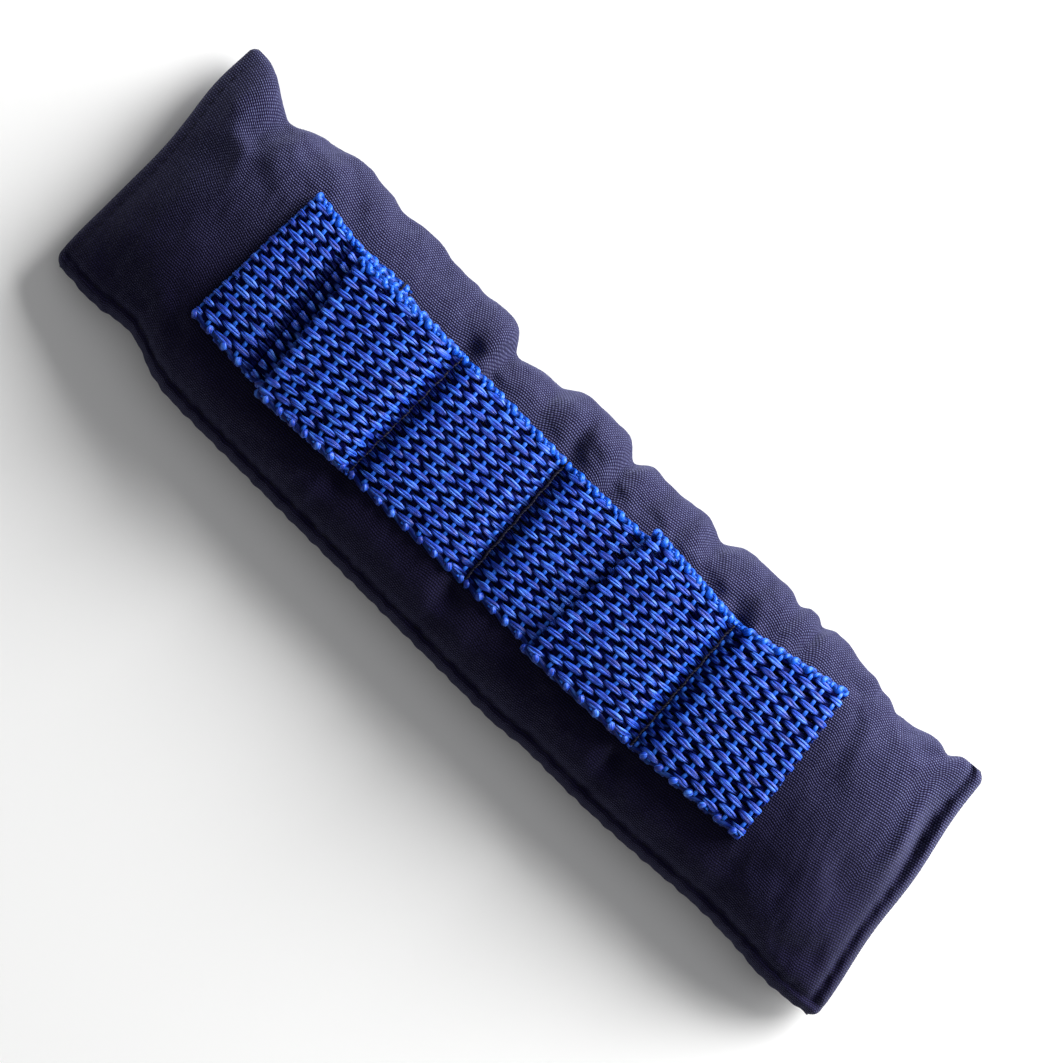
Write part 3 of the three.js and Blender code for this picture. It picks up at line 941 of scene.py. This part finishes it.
    def blend_over_hinge(self, piece: bpy.types.Object, number: int) -> None:
        """Bakes a piece's placement into its mesh, and finds the points beside its hinge line, numbered from
        1 at the left end, without using them.
        """
        left, right = self.hinges[number - 1].beside(self.hinge_reach, self.height)
        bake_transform(piece)

    def joins(self) -> list[float]:
        """X where one piece ends and the next begins: halfway between each two hinge lines."""
        return [(first.x + second.x) / 2.0 for first, second in zip(self.hinges[:-1], self.hinges[1:])]

    def settled(self, points: Array) -> Array:
        """Lets the loose cloth settle by simulation on a coarse copy of the surface.

        The copy is a little larger than the space it fills, is blown out by the filling's pressure, and is
        held along the seams and under the webbing. Each point's movement, capped, is stretched back over the
        fine grid.

        Args:
            points: The fine surface.

        Returns:
            The settled surface.
        """
        coarse = self.surface(self.simulated_stations, self.simulated_columns)
        held = self.held(coarse)
        shift = (simulate_cloth(coarse, held, self.pressure, self.slack) - coarse) * (1.0 - held)[..., None]
        size = np.linalg.norm(shift, axis=-1, keepdims=True)
        shift = shift * np.minimum(1.0, self.settling / np.maximum(size, 1e-9))
        for axis in (0, 1):
            shift = np.moveaxis(low_pass(np.moveaxis(shift, axis, 0), 1), 0, axis)
        shift[..., 2] = np.where(coarse[..., 2] < 1.0, 0.0, shift[..., 2])
        fine = [stretch_grid(ply, points.shape[0], self.columns) for ply in np.split(shift, 2, axis=1)]
        return points + np.concatenate(fine, 1)

    def held(self, points: Array) -> Array:
        """How firmly each point of the cloth is held, from 0 to 1, in the simulation."""
        x, y, z = points[..., 0], points[..., 1], points[..., 2]
        left, right = self.ends_at(y)
        edge = np.minimum(np.minimum(x - left, right - x), y - self.seam_beside(x, y))
        seams = 1.0 - smooth((edge - 3.5) / 3.0)
        off_edge, off_end = self.off_webbing(x, y)
        under = (1.0 - smooth((off_edge - 0.5) / 2.5)) * (1.0 - smooth((off_end - 1.0) / 4.0)) * (z > 12.0)
        return np.maximum(np.maximum(seams, under), (z < 0.3).astype(float))


def grid_normals(points: Array) -> Array:
    """Outward normals of a surface whose columns wrap round: the cross product of its two gradients."""
    down = np.gradient(points, axis=0)
    wrapped = np.concatenate([points[:, -1:], points, points[:, :1]], 1)
    around = (wrapped[:, 2:] - wrapped[:, :-2]) / 2.0
    return unit(np.cross(down, around))


def low_pass(values: Array, reach: int) -> Array:
    """Values averaged along the first axis over twice the reach, with the ends repeated."""
    padded = np.concatenate([np.repeat(values[:1], reach, 0), values, np.repeat(values[-1:], reach, 0)])
    sums = np.cumsum(np.concatenate([np.zeros_like(padded[:1]), padded]), axis=0)
    return (sums[2 * reach + 1 :] - sums[: -2 * reach - 1]) / (2 * reach + 1)


def stretch_grid(values: Array, rows: int, columns: int) -> Array:
    """A coarse grid of vectors stretched to a finer one by straight interpolation along each axis."""
    for axis, wanted in ((0, rows), (1, columns)):
        place = np.linspace(0.0, values.shape[axis] - 1.0, wanted)
        low = np.minimum(place.astype(int), values.shape[axis] - 2)
        share = place - low
        share = share[:, None, None] if axis == 0 else share[None, :, None]
        values = mix(np.take(values, low, axis), np.take(values, low + 1, axis), share)
    return values


def simulate_cloth(points: Array, held: Array, pressure: float, slack: float) -> Array:
    """Runs the cloth simulation on a closed surface.

    Args:
        points: Stations by columns by 3, in millimetres.
        held: How firmly each point is pinned.
        pressure: Pressure of the filling.
        slack: How much longer the cloth is than the surface.

    Returns:
        Where each point ends.
    """
    flat = points.reshape(-1, 3)
    shell = facing_out(plain_shell(flat, sack_faces(*points.shape[:2]), np.zeros((len(flat), 2))))
    piece = shell.to_object("cloth_simulation", bpy.data.materials.new("unfinished"))
    group = piece.vertex_groups.new(name="held")
    levels = np.round(held.ravel(), 2)
    for level in np.unique(levels):
        group.add(np.nonzero(levels == level)[0].tolist(), float(level), "REPLACE")
    cloth = piece.modifiers.new("cloth", "CLOTH")
    cloth.settings.quality = 6
    cloth.settings.mass = 0.25
    cloth.settings.use_pressure = True
    cloth.settings.uniform_pressure_force = pressure
    cloth.settings.tension_stiffness = 30.0
    cloth.settings.compression_stiffness = 30.0
    cloth.settings.bending_stiffness = 1.2
    cloth.settings.shrink_min = -slack
    cloth.settings.vertex_group_mass = "held"
    cloth.settings.effector_weights.gravity = 0.0
    last_frame = 16
    cloth.point_cache.frame_end = last_frame
    for number in range(1, last_frame + 1):
        bpy.context.scene.frame_set(number)
    evaluated = piece.evaluated_get(bpy.context.evaluated_depsgraph_get())
    result = np.zeros(len(flat) * 3, np.float32)
    evaluated.data.vertices.foreach_get("co", result)
    bpy.context.scene.frame_set(1)
    bpy.data.objects.remove(piece)
    return result.astype(float).reshape(points.shape) / MM


# ---- Webbing ----------------------------------------------------------------------------------

Edge = tuple[tuple[float, float], tuple[float, float]]


@dataclass(frozen=True)
class Layer:
    """How one part of the strip lies: heights of its middle above the bag's top, in layers of webbing."""

    name: str
    root: Edge  # plan corners at the stitched side and at the folded side
    tip: Edge
    body: str
    lift_body: str | None  # the loop's own body, or None for a single layer sewn flat
    heights: tuple[float, float]  # at the root and along the rest; a loop's lower layer
    upper: tuple[float, float] | None  # the same for a loop's upper layer
    nodes: tuple[str, ...]
    tip_height: float | None = None  # where a single layer ends in a row too
    sewn_to: str | None = None  # the length that a single layer's end follows where a bend runs beside it
    sewn_edge: Edge | None = None  # which end that is


class Selvedge(Enum):
    """The webbing's two edges: one of plain loops at the stitched side, one knitted at the folded side."""

    LOOPED = auto()
    KNITTED = auto()


@dataclass
class Webbing:
    """The folded strip of webbing, woven yarn by yarn.

    Warp yarns run along the strip in opposite phases, each a wave over and under the filling yarns. A strip
    part is a path in (distance from its root, height) carried across the bag between two plan edges.
    """

    material: bpy.types.Material
    bag: Bag
    columns: int = 26
    pick: float = 4.1  # from one filling yarn to the next
    layer: float = 1.9  # from one layer's middle to the next
    seat: float = 1.0  # middle of the lowest layer above the bag
    strip_width: float = 38.6
    warp_margin: float = 0.028  # share of the width outside the outermost warp column
    float_width: float = 0.9  # of one of a warp yarn's two bundles
    neck_width: float = 0.6
    bundle_offset: float = 0.33
    yarn_height: float = 0.7
    wave: float = 0.43  # how far a warp yarn swings up and down
    slant: float = 0.17  # how far it swings sideways
    step: float = 0.42  # from one section of a warp yarn to the next
    filling_wave: float = 0.26
    filling_width: float = 1.0
    filling_height: float = 0.62
    filling_margin: float = 0.012  # share of the width outside a filling yarn's end
    edge_swing: float = 0.42  # how far an edge's yarns swing sideways as they wind
    edge_lift: float = 0.46  # how far they swing up and down
    rise: float = 6.5  # over which a layer comes up from a row
    lift_reach: float = 8.0  # over which a loop turns from its length to its lifted part
    sewn_reach: float = 8.0  # over which a run's end turns from its own length to the next

    FOLD_A: Edge = ((-88.8, -17.1), (-87.4, 22.7))
    BEND_A: Edge = ((-69.6, -18.1), (-73.2, 20.6))
    FOLD_B: Edge = ((-65.8, -19.6), (-70.8, 18.9))
    FLAP_END: Edge = ((-57.4, -17.5), (-57.2, 21.6))
    ROW_1: Edge = ((-38.7, -17.9), (-38.7, 19.7))
    ROW_2: Edge = ((-3.0, -16.9), (-5.55, 19.2))
    FOLD_C: Edge = ((16.5, -17.9), (19.4, 22.7))
    ROW_3: Edge = ((49.4, -16.3), (46.7, 20.7))
    FOLD_D: Edge = ((81.9, -13.6), (76.1, 27.4))

    def layers(self) -> list[Layer]:
        """Every part of the strip, in the order that the strip runs."""
        return [
            Layer("webbing_cut_end", self.BEND_A, self.FLAP_END, "length_2", None, (0.0, 0.0), None,
                  ("strip_cut_end",)),
            Layer("webbing_loop_a", self.BEND_A, self.FOLD_A, "length_2", "loop_a", (0.0, 0.0), (1.0, 1.0),
                  ("loop_a_lower", "loop_a_upper", "loop_a_fold")),
            Layer("webbing_run_1", self.ROW_1, self.BEND_A, "length_2", None, (-0.35, 1.0), None,
                  ("strip_run_1",), sewn_to="length_3", sewn_edge=self.ROW_1),
            Layer("webbing_loop_b", self.ROW_1, self.FOLD_B, "length_2", "loop_b", (0.15, 2.05), (0.6, 3.05),
                  ("loop_b_lower", "loop_b_upper", "loop_b_fold")),
            Layer("webbing_run_2", self.ROW_1, self.ROW_2, "length_3", None, (0.3, 0.0), None,
                  ("strip_run_2",), tip_height=-0.25, sewn_to="length_4", sewn_edge=self.ROW_2),
            Layer("webbing_run_3", self.ROW_2, self.ROW_3, "length_4", None, (-0.25, 0.0), None,
                  ("strip_run_3",), tip_height=-0.35),
            Layer("webbing_loop_c", self.ROW_3, self.FOLD_C, "length_4", "loop_c", (0.1, 1.0), (0.6, 2.05),
                  ("loop_c_lower", "loop_c_upper", "loop_c_fold")),
            Layer("webbing_loop_d", self.ROW_3, self.FOLD_D, "length_5", "loop_d", (-0.25, 0.0), (0.5, 1.05),
                  ("loop_d_lower", "loop_d_upper", "loop_d_fold")),
        ]

    def path_of(self, part: Layer) -> tuple[Array, Array]:
        """The part's path, as distance from its root and height above the bag, with about even steps.

        A single layer rises from its root by a curve that slows to level, and sinks by a soft step to a row
        at its tip. A loop runs out along its lower layer, round a half circle and back along its upper layer.

        Args:
            part: The strip part.

        Returns:
            Distances and heights, in millimetres.
        """
        length = float(np.linalg.norm(np.mean(part.tip, axis=0) - np.mean(part.root, axis=0)))

        def layer_height(place: Array, heights: tuple[float, float]) -> Array:
            eased = 1.0 - (1.0 - np.clip(place / self.rise, 0.0, 1.0)) ** 2
            return self.seat + self.layer * mix(heights[0], heights[1], eased)

        if part.upper is None:
            place = np.linspace(0.0, length, 400)
            height = layer_height(place, part.heights)
            if part.tip_height is not None:
                fall = smooth((place - length + self.rise) / self.rise)
                height += self.layer * (part.tip_height - part.heights[1]) * fall
            return place, height
        radius = self.layer * (part.upper[1] - part.heights[1]) / 2.0
        turn_start = length - radius - self.yarn_height * 1.2
        place = np.linspace(0.0, turn_start, 300)
        lower = layer_height(place, part.heights)
        upper = layer_height(place, part.upper) + 0.35 * np.sin(math.pi * place / turn_start) ** 2
        angle = np.linspace(-math.pi / 2, math.pi / 2, 60)[1:-1]
        centre = (lower[-1] + upper[-1]) / 2.0
        around, over = turn_start + radius * np.cos(angle) * 1.15, centre + radius * np.sin(angle)
        return np.concatenate([place, around, place[::-1]]), np.concatenate([lower, over, upper[::-1]])

    def carried(self, part: Layer, run: Array, share: Array, lift: Array) -> tuple[Array, Array]:
        """Points on the part, carried across the bag.

        Args:
            part: The strip part.
            run: Millimetres along its path.
            share: Across the strip, 0 at the stitched side and 1 at the folded side.
            lift: Millimetres off the path, on the side that faces up in a single layer.

        Returns:
            Points in the part's frame and the unit vectors square to the webbing there.
        """
        place, height = self.path_of(part)
        travelled = np.concatenate([[0.0], np.cumsum(np.hypot(np.diff(place), np.diff(height)))])
        slope_place, slope_height = np.gradient(place, travelled), np.gradient(height, travelled)
        size = np.hypot(slope_place, slope_height)
        out_place, out_height = -slope_height / size, slope_place / size
        if part.upper is not None:
            out_place, out_height = -out_place, -out_height
        path_measures = (place, height, out_place, out_height)
        place, height, out_place, out_height = (np.interp(run, travelled, values) for values in path_measures)
        root, tip = np.array(part.root), np.array(part.tip)
        root_at, tip_at = (mix(edge[0], edge[1], share[..., None]) for edge in (root, tip))
        along = (tip_at - root_at) / float(np.linalg.norm(tip.mean(0) - root.mean(0)))
        plan = root_at + along * (place + out_place * lift)[..., None]
        under = root_at + along * place[..., None]
        z = self.bag.top_at(under[..., 0], under[..., 1]) + height + out_height * lift
        up = np.concatenate([along * out_place[..., None], out_height[..., None]], -1)
        return np.concatenate([plan, z[..., None]], -1), unit(up)

    def column_share(self, column: Array) -> Array:
        """Share across the strip of a warp column's middle."""
        return mix(self.warp_margin, 1.0 - self.warp_margin, (column + 0.5) / self.columns)

    def total(self, part: Layer) -> float:
        """Length of the part's path."""
        place, height = self.path_of(part)
        return float(np.sum(np.hypot(np.diff(place), np.diff(height))))

    def warp(self, part: Layer, seed: int) -> Shell:
        """The warp yarns: each two bundles of filaments in a flattened cosine over and under the filling.

        Args:
            part: The strip part.
            seed: Seed of the small differences between floats.

        Returns:
            One shell of every warp yarn.
        """
        total = self.total(part)
        steps = max(int(total / self.step), 12)
        count = 2 * self.columns
        shape = (count, steps)
        run = np.broadcast_to(np.linspace(0.0, total, steps), shape)
        column = np.arange(count)[:, None] // 2
        side = 2.0 * (np.arange(count)[:, None] % 2) - 1.0
        rng = np.random.default_rng(seed)
        picks = max(int(total / self.pick), 2)
        yarn_cells, bundle_cells = (self.columns, picks), (count, 2 * picks)
        yarn_shape = (self.columns, steps)
        jitter = np.repeat(low_noise(yarn_shape, yarn_cells, seed + 1), 2, 0)
        jitter = 0.45 * jitter + 0.2 * low_noise(shape, bundle_cells, seed + 6)
        phase = math.pi * (run / self.pick + column) + jitter
        beat = np.cos(phase)
        swell = np.repeat(low_noise(yarn_shape, yarn_cells, seed + 2), 2, 0)
        lift = self.wave * signed_power(beat, 0.55) * (1.0 + 0.16 * swell)
        sewn_in = self.sewn_in(part, run, total)
        lift = lift * mix(1.0, 0.4, sewn_in) + 0.07 * low_noise(shape, bundle_cells, seed + 7)
        width = mix(self.neck_width, self.float_width, np.abs(beat) ** 0.9)
        width = width * (1.0 + 0.3 * low_noise(shape, bundle_cells, seed + 3)) * mix(1.0, 0.82, sewn_in)
        wander = np.repeat(low_noise(yarn_shape, yarn_cells, seed + 4), 2, 0)
        sway = self.slant * np.sin(phase) + 0.12 * wander
        sway = sway + side * self.bundle_offset * mix(0.5, 1.0, np.abs(beat))
        share = self.column_share(column) + sway / self.strip_width
        path, up = self.carried(part, run, share, lift)
        height = self.yarn_height * (1.0 + 0.1 * low_noise(shape, bundle_cells, seed + 5))
        pointed = np.ones(steps)
        pointed[[0, -1]] = 0.45
        tint = rng.uniform(0.0, 0.2, (count, 1)) * np.ones(shape)
        # Painted shade where the warp sinks under the filling yarns, and beside the rows of stitches.
        depth = 0.96 * (1.0 - smooth((lift / self.wave + 0.25) / 1.1))
        depth = np.maximum(depth, 0.92 * sewn_in)
        return yarns(path, up, width * pointed, height * pointed, tint, depth)

    def sewn_in(self, part: Layer, run: Array, total: float) -> Array:
        """How far each point lies in the shadow of a row of stitches, from 0 to 1."""
        distance = run
        if part.upper is not None or part.tip_height is not None:
            distance = np.minimum(run, total - run)
        return 1.0 - smooth((distance - 0.6) / 3.2)

    def filling(self, part: Layer, seed: int) -> Shell:
        """The filling yarns, one for each pick, over the sunk warp yarns and under the raised ones."""
        total = self.total(part)
        picks = np.arange(1, int(total / self.pick) + 1) * self.pick - 0.02
        picks = picks[picks < total - 0.6]
        steps = self.columns * 6 + 1
        place = np.linspace(0.0, 1.0, steps)
        inside = mix(self.filling_margin, 1.0 - self.filling_margin, place)
        share = np.broadcast_to(inside, (len(picks), steps))
        number = np.round(picks / self.pick)[:, None]
        column = (share - self.warp_margin) / (1.0 - 2.0 * self.warp_margin) * self.columns - 0.5
        lift = -self.filling_wave * np.cos(math.pi * (number + column))
        run = picks[:, None] + 0.22 * low_noise((len(picks), steps), (len(picks), 20), seed)
        path, up = self.carried(part, run, share, lift)
        # Painted shade where the filling yarn sinks under the warp.
        depth = 0.9 * (1.0 - smooth(lift / self.filling_wave + 0.2))
        sizes = (np.full(path.shape[:2], size) for size in (self.filling_width, self.filling_height))
        return yarns(path, up, *sizes, 0.5, depth)

    def edging(self, part: Layer, selvedge: Selvedge) -> Shell:
        """An edge's yarns, wound in helices round the outermost warp.

        The looped edge is one thick helix with a turn for each pick; the knitted edge is a thick and a thin
        one half a turn apart, so that it looks like a row of knots.

        Args:
            part: The strip part.
            selvedge: Which edge.

        Returns:
            The edge's yarns as one shell.
        """
        looped = selvedge is Selvedge.LOOPED
        total = self.total(part)
        steps = max(int(total / 0.3), 24)
        thick = np.array([[1.5]] if looped else [[1.45], [0.85]])
        strands = len(thick)
        run = np.broadcast_to(np.linspace(0.0, total, steps), (strands, steps))
        turn = 2.0 * math.pi * (run / self.pick + np.arange(strands)[:, None] / strands)
        turn = turn + 0.4 * low_noise((strands, steps), (strands, max(int(total / self.pick), 2)), 70)
        centre, outward = (0.02, -1.0) if looped else (0.982, 1.0)
        share = centre + outward * self.edge_swing * np.cos(turn) / self.strip_width
        lift = self.edge_lift * np.sin(turn)
        along = run + (1.1 if looped else 0.6) * np.cos(turn)
        path, up = self.carried(part, np.clip(along, 0.0, total), share, lift)
        tint = 0.1 if looped else 1.0
        # Painted shade where the edge yarns wind under.
        depth = 0.75 * (1.0 - smooth((np.sin(turn) + 0.7) / 1.2))
        width = thick * (1.0 + 0.12 * low_noise((strands, steps), (strands, 30), 71))
        return yarns(path, up, width, width * 0.85, tint, depth)

    def build(self) -> list[bpy.types.Object]:
        """Weaves every part of the strip, dresses it, and rides it on its body or bakes its placement into
        its mesh.

        Returns:
            The pieces, in the order that the strip runs.
        """
        pieces = []
        for number, part in enumerate(self.layers()):
            seed = 100 * (number + 1)
            shell = self.warp(part, seed).joined(
                [self.filling(part, seed + 50)] + [self.edging(part, edge) for edge in Selvedge]
            )
            piece = facing_out(shell).to_object(part.name, self.material)
            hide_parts(*part.nodes)
            self.attach(piece, part)
            LOG.info("%s: %d faces", part.name, len(shell.faces))
            pieces.append(piece)
        return pieces

    def attach(self, piece: bpy.types.Object, part: Layer) -> None:
        """Rides a single layer on its body; for a loop or a run's end sewn to the next length, only bakes its
        placement into its mesh.
        """
        if part.lift_body is None and part.sewn_to is None:
            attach(piece, part.body)
            return
        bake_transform(piece)


# ---- Stitching --------------------------------------------------------------------------------


@dataclass
class Stitching:
    """The rows of thread across the webbing and round the bag's sewn edges."""

    material: bpy.types.Material
    bag: Bag
    webbing: Webbing
    thread: float = 0.42  # diameter of one of the two plies across the webbing
    seam_thread: float = 0.22  # the same round the bag's edges
    twist: float = 1.9  # along the thread for one turn of its plies
    stitch: float = 3.4
    needle_depth: float = 0.5  # how far a seam's thread sinks at each needle hole
    inset: float = 3.2
    left_inset: float = 2.6

    def sewn(self, plan: Array, z: Array, ply: float, name: str, *nodes: str) -> bpy.types.Object:
        """A thread of two plies, each a helix about the centre line, dressed and named.

        Args:
            plan: Steps by 2, the line in plan.
            z: Its heights.
            ply: Diameter of a ply.
            name: Name of the piece.
            nodes: The nodes that it stands for.

        Returns:
            The piece; the rows and the end seams are given their bodies afterwards.
        """
        centre = np.concatenate([plan, z[:, None]], -1)
        up = np.broadcast_to([0.0, 0.0, 1.0], centre.shape)
        along = unit(np.gradient(centre, axis=0))
        side = unit(np.cross(up, along))
        lift = np.cross(along, side)
        run = np.cumsum(np.linalg.norm(np.diff(centre, axis=0, prepend=centre[:1]), axis=-1))
        angle = run[None] * 2.0 * math.pi / self.twist + np.array([0.0, math.pi])[:, None]
        reach = 0.42 * ply
        path = centre[None] + reach * (np.cos(angle)[..., None] * side + np.sin(angle)[..., None] * lift)
        size = np.full(path.shape[:2], ply)
        shell = yarns(path, np.broadcast_to(up, path.shape), size, size)
        piece = facing_out(shell).to_object(name, self.material)
        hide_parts(*nodes)
        LOG.info("%s: %d faces", name, len(shell.faces))
        return piece

    def across_row(self, edge: Edge, height: float, name: str, body: str, node: str) -> bpy.types.Object:
        """The thread across the webbing at a row: it lies in the groove and sinks a little at each stitch."""
        first, last = np.array(edge[0]), np.array(edge[1])
        length = float(np.linalg.norm(last - first))
        share = np.linspace(-0.012, 1.012, int(length / 0.24))
        plan = first + (last - first) * share[:, None]
        beat = np.abs(np.sin(math.pi * share * length / self.stitch)) ** 0.5
        z = self.bag.top_at(plan[:, 0], plan[:, 1]) + height + 0.25 * beat
        ends = smooth(share / 0.02 + 0.5) * smooth((1.0 - share) / 0.02 + 0.5)
        z = z - 1.6 * (1.0 - ends)
        plan = plan + 0.12 * np.stack([np.sin(share * 41.0), np.zeros_like(share)], -1)
        piece = self.sewn(plan, z, self.thread, name, node)
        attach(piece, body)
        return piece

    def on_bag(self, plan: Array) -> Array:
        """Heights of a line of stitches on the bag's top: it rises between needle holes and sinks at each."""
        run = np.cumsum(np.linalg.norm(np.diff(plan, axis=0, prepend=plan[:1]), axis=-1))
        beat = np.abs(np.sin(math.pi * run / self.stitch)) ** 0.6
        return self.bag.top_at(plan[:, 0], plan[:, 1]) + mix(-self.needle_depth, 0.0, beat)

    def side_seam(self) -> list[bpy.types.Object]:
        """The stitching along the stitched side, cut at the middle of each length like the cover."""
        start = self.bag.left_end + 2.0 * self.inset
        end = self.bag.right_end - 2.0 * self.inset
        stops = [start, *self.bag.joins(), end]
        pieces = []
        for number, (first, last) in enumerate(zip(stops[:-1], stops[1:]), start=1):
            x = np.linspace(first, last, int((last - first) / 0.3))
            plan = np.stack([self.bag.shown_at(x, self.bag.seam_side), self.bag.seam_at(x) + self.inset], -1)
            nodes = [f"side_seam_thread_{number}"]
            if number == len(self.bag.hinges):
                nodes.append(f"side_seam_thread_{number + 1}")
            name = f"side_seam_stitching_{number}"
            piece = self.sewn(plan, self.on_bag(plan), self.seam_thread, name, *nodes)
            self.bag.blend_over_hinge(piece, number)
            pieces.append(piece)
        return pieces

    def end_seam(self, name: str, right: bool, body: str, node: str) -> bpy.types.Object:
        """The stitching along one end seam."""
        low, high = self.bag.seam_side + self.bag.seam_corner_tuck + 5.0, self.bag.fold_side - 3.0
        y = np.linspace(low, high, int((high - low) / 0.3))
        left_x, right_x = self.bag.ends_at(y)
        x = right_x - self.inset if right else left_x + self.left_inset
        plan = np.stack([x, y], -1)
        piece = self.sewn(plan, self.on_bag(plan), self.seam_thread, name, node)
        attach(piece, body)
        return piece

    def build(self) -> list[bpy.types.Object]:
        """Sews every row and edge.

        Returns:
            The thread pieces.
        """
        web = self.webbing
        seat = web.seat + 0.5
        pieces = [
            self.across_row(web.ROW_1, seat + 0.35, "row_stitching_1", "length_3", "row_thread_1"),
            self.across_row(web.ROW_2, seat - 0.62, "row_stitching_2", "length_4", "row_thread_2"),
            self.across_row(web.ROW_3, seat + 0.9, "row_stitching_3", "length_4", "row_thread_3"),
        ]
        hidden = tuple((x - 2.0, y) for x, y in web.FLAP_END)
        pieces.append(
            self.across_row(hidden, seat + web.layer, "hidden_row_stitching", "length_2", "row_thread_hidden")
        )
        pieces += self.side_seam()
        pieces.append(self.end_seam("left_end_stitching", False, "length_1", "left_end_seam_thread"))
        pieces.append(self.end_seam("right_end_stitching", True, "length_6", "right_end_seam_thread"))
        return pieces


# ---- Studio -----------------------------------------------------------------------------------


@dataclass
class Studio:
    """A pale floor, soft lights and a camera straight above, turned so that the bag runs corner to corner."""

    floor_finish: bpy.types.Material
    view_width: float = 240.2  # mm across the view at the height it is aimed at
    aim: Point = (-0.1, 2.4, 9.0)
    turn: float = 45.0
    lens: float = 250.0
    sensor: float = 36.0
    sky_strength: float = 0.22

    def build(self) -> None:
        """Makes the floor, the lights and the camera."""
        self.floor()
        self.light("window_light", (0.50, 1.05, 0.40), 0.9, 54.0, "#ffffff")
        self.light("overhead_fill", (0.1, 0.3, 1.4), 1.2, 2.0, "#f7f8ff")
        self.sky()
        bpy.context.scene.view_settings.view_transform = "Standard"
        self.camera()

    def sky(self) -> None:
        """An even white light from all round."""
        world = bpy.data.worlds.new("studio")
        world.use_nodes = True
        background = world.node_tree.nodes["Background"]
        background.inputs["Color"].default_value = linear("#ffffff")
        background.inputs["Strength"].default_value = self.sky_strength
        bpy.context.scene.world = world

    def floor(self) -> None:
        """A flat sheet of card a hair below the bag."""
        half, height = 3000.0, -0.05
        plan = half * np.array([[-1.0, -1.0], [1.0, -1.0], [1.0, 1.0], [-1.0, 1.0]])
        corners = np.concatenate([plan, np.full((4, 1), height)], 1)
        shell = plain_shell(corners, np.array([[0, 1, 2, 3]]), corners[:, :2])
        shell.to_object("floor", self.floor_finish)

    def light(self, name: str, place: Point, size: float, power: float, colour: str) -> None:
        """A square area light aimed at the middle of the bag.

        Args:
            name: Its name.
            place: Where it stands, in metres.
            size: Its side, in metres.
            power: In watts.
            colour: Its sRGB hex colour.
        """
        data = bpy.data.lights.new(name, "AREA")
        data.size = size
        data.energy = power
        data.color = linear(colour)[:3]
        lamp = bpy.data.objects.new(name, data)
        lamp.location = place
        lamp.rotation_euler = Vector(place).to_track_quat("Z", "Y").to_euler()
        bpy.context.scene.collection.objects.link(lamp)

    def camera(self) -> None:
        """A long lens straight above, as high as makes the view its width at the aim."""
        data = bpy.data.cameras.new("camera")
        data.lens = self.lens
        data.sensor_width = self.sensor
        rise = self.view_width * self.lens / self.sensor
        camera = bpy.data.objects.new("camera", data)
        camera.location = (self.aim[0] * MM, self.aim[1] * MM, (self.aim[2] + rise) * MM)
        camera.rotation_euler = (0.0, 0.0, math.radians(self.turn))
        bpy.context.scene.collection.objects.link(camera)
        bpy.context.scene.camera = camera


def main() -> None:
    """Builds every class in order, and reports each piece."""
    logging.basicConfig(level=logging.INFO, format="%(name)s: %(message)s")
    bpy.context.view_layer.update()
    Studio(MattCard().build()).build()
    hinge_names = ("bend_at_left_end", "bend_at_row_1", "bend_at_row_2", "bend_at_row_3", "bend_at_right_end")
    hinges = [Row.of_joint(name) for name in hinge_names]
    bag = Bag(CottonCanvas().build(), hinges=hinges, rows=hinges[1:4])
    bag.build()
    webbing = Webbing(PolypropyleneYarn().build(), bag)
    webbing.build()
    Stitching(PolyesterThread().build(), bag, webbing).build()


if __name__ == "__main__":
    main()
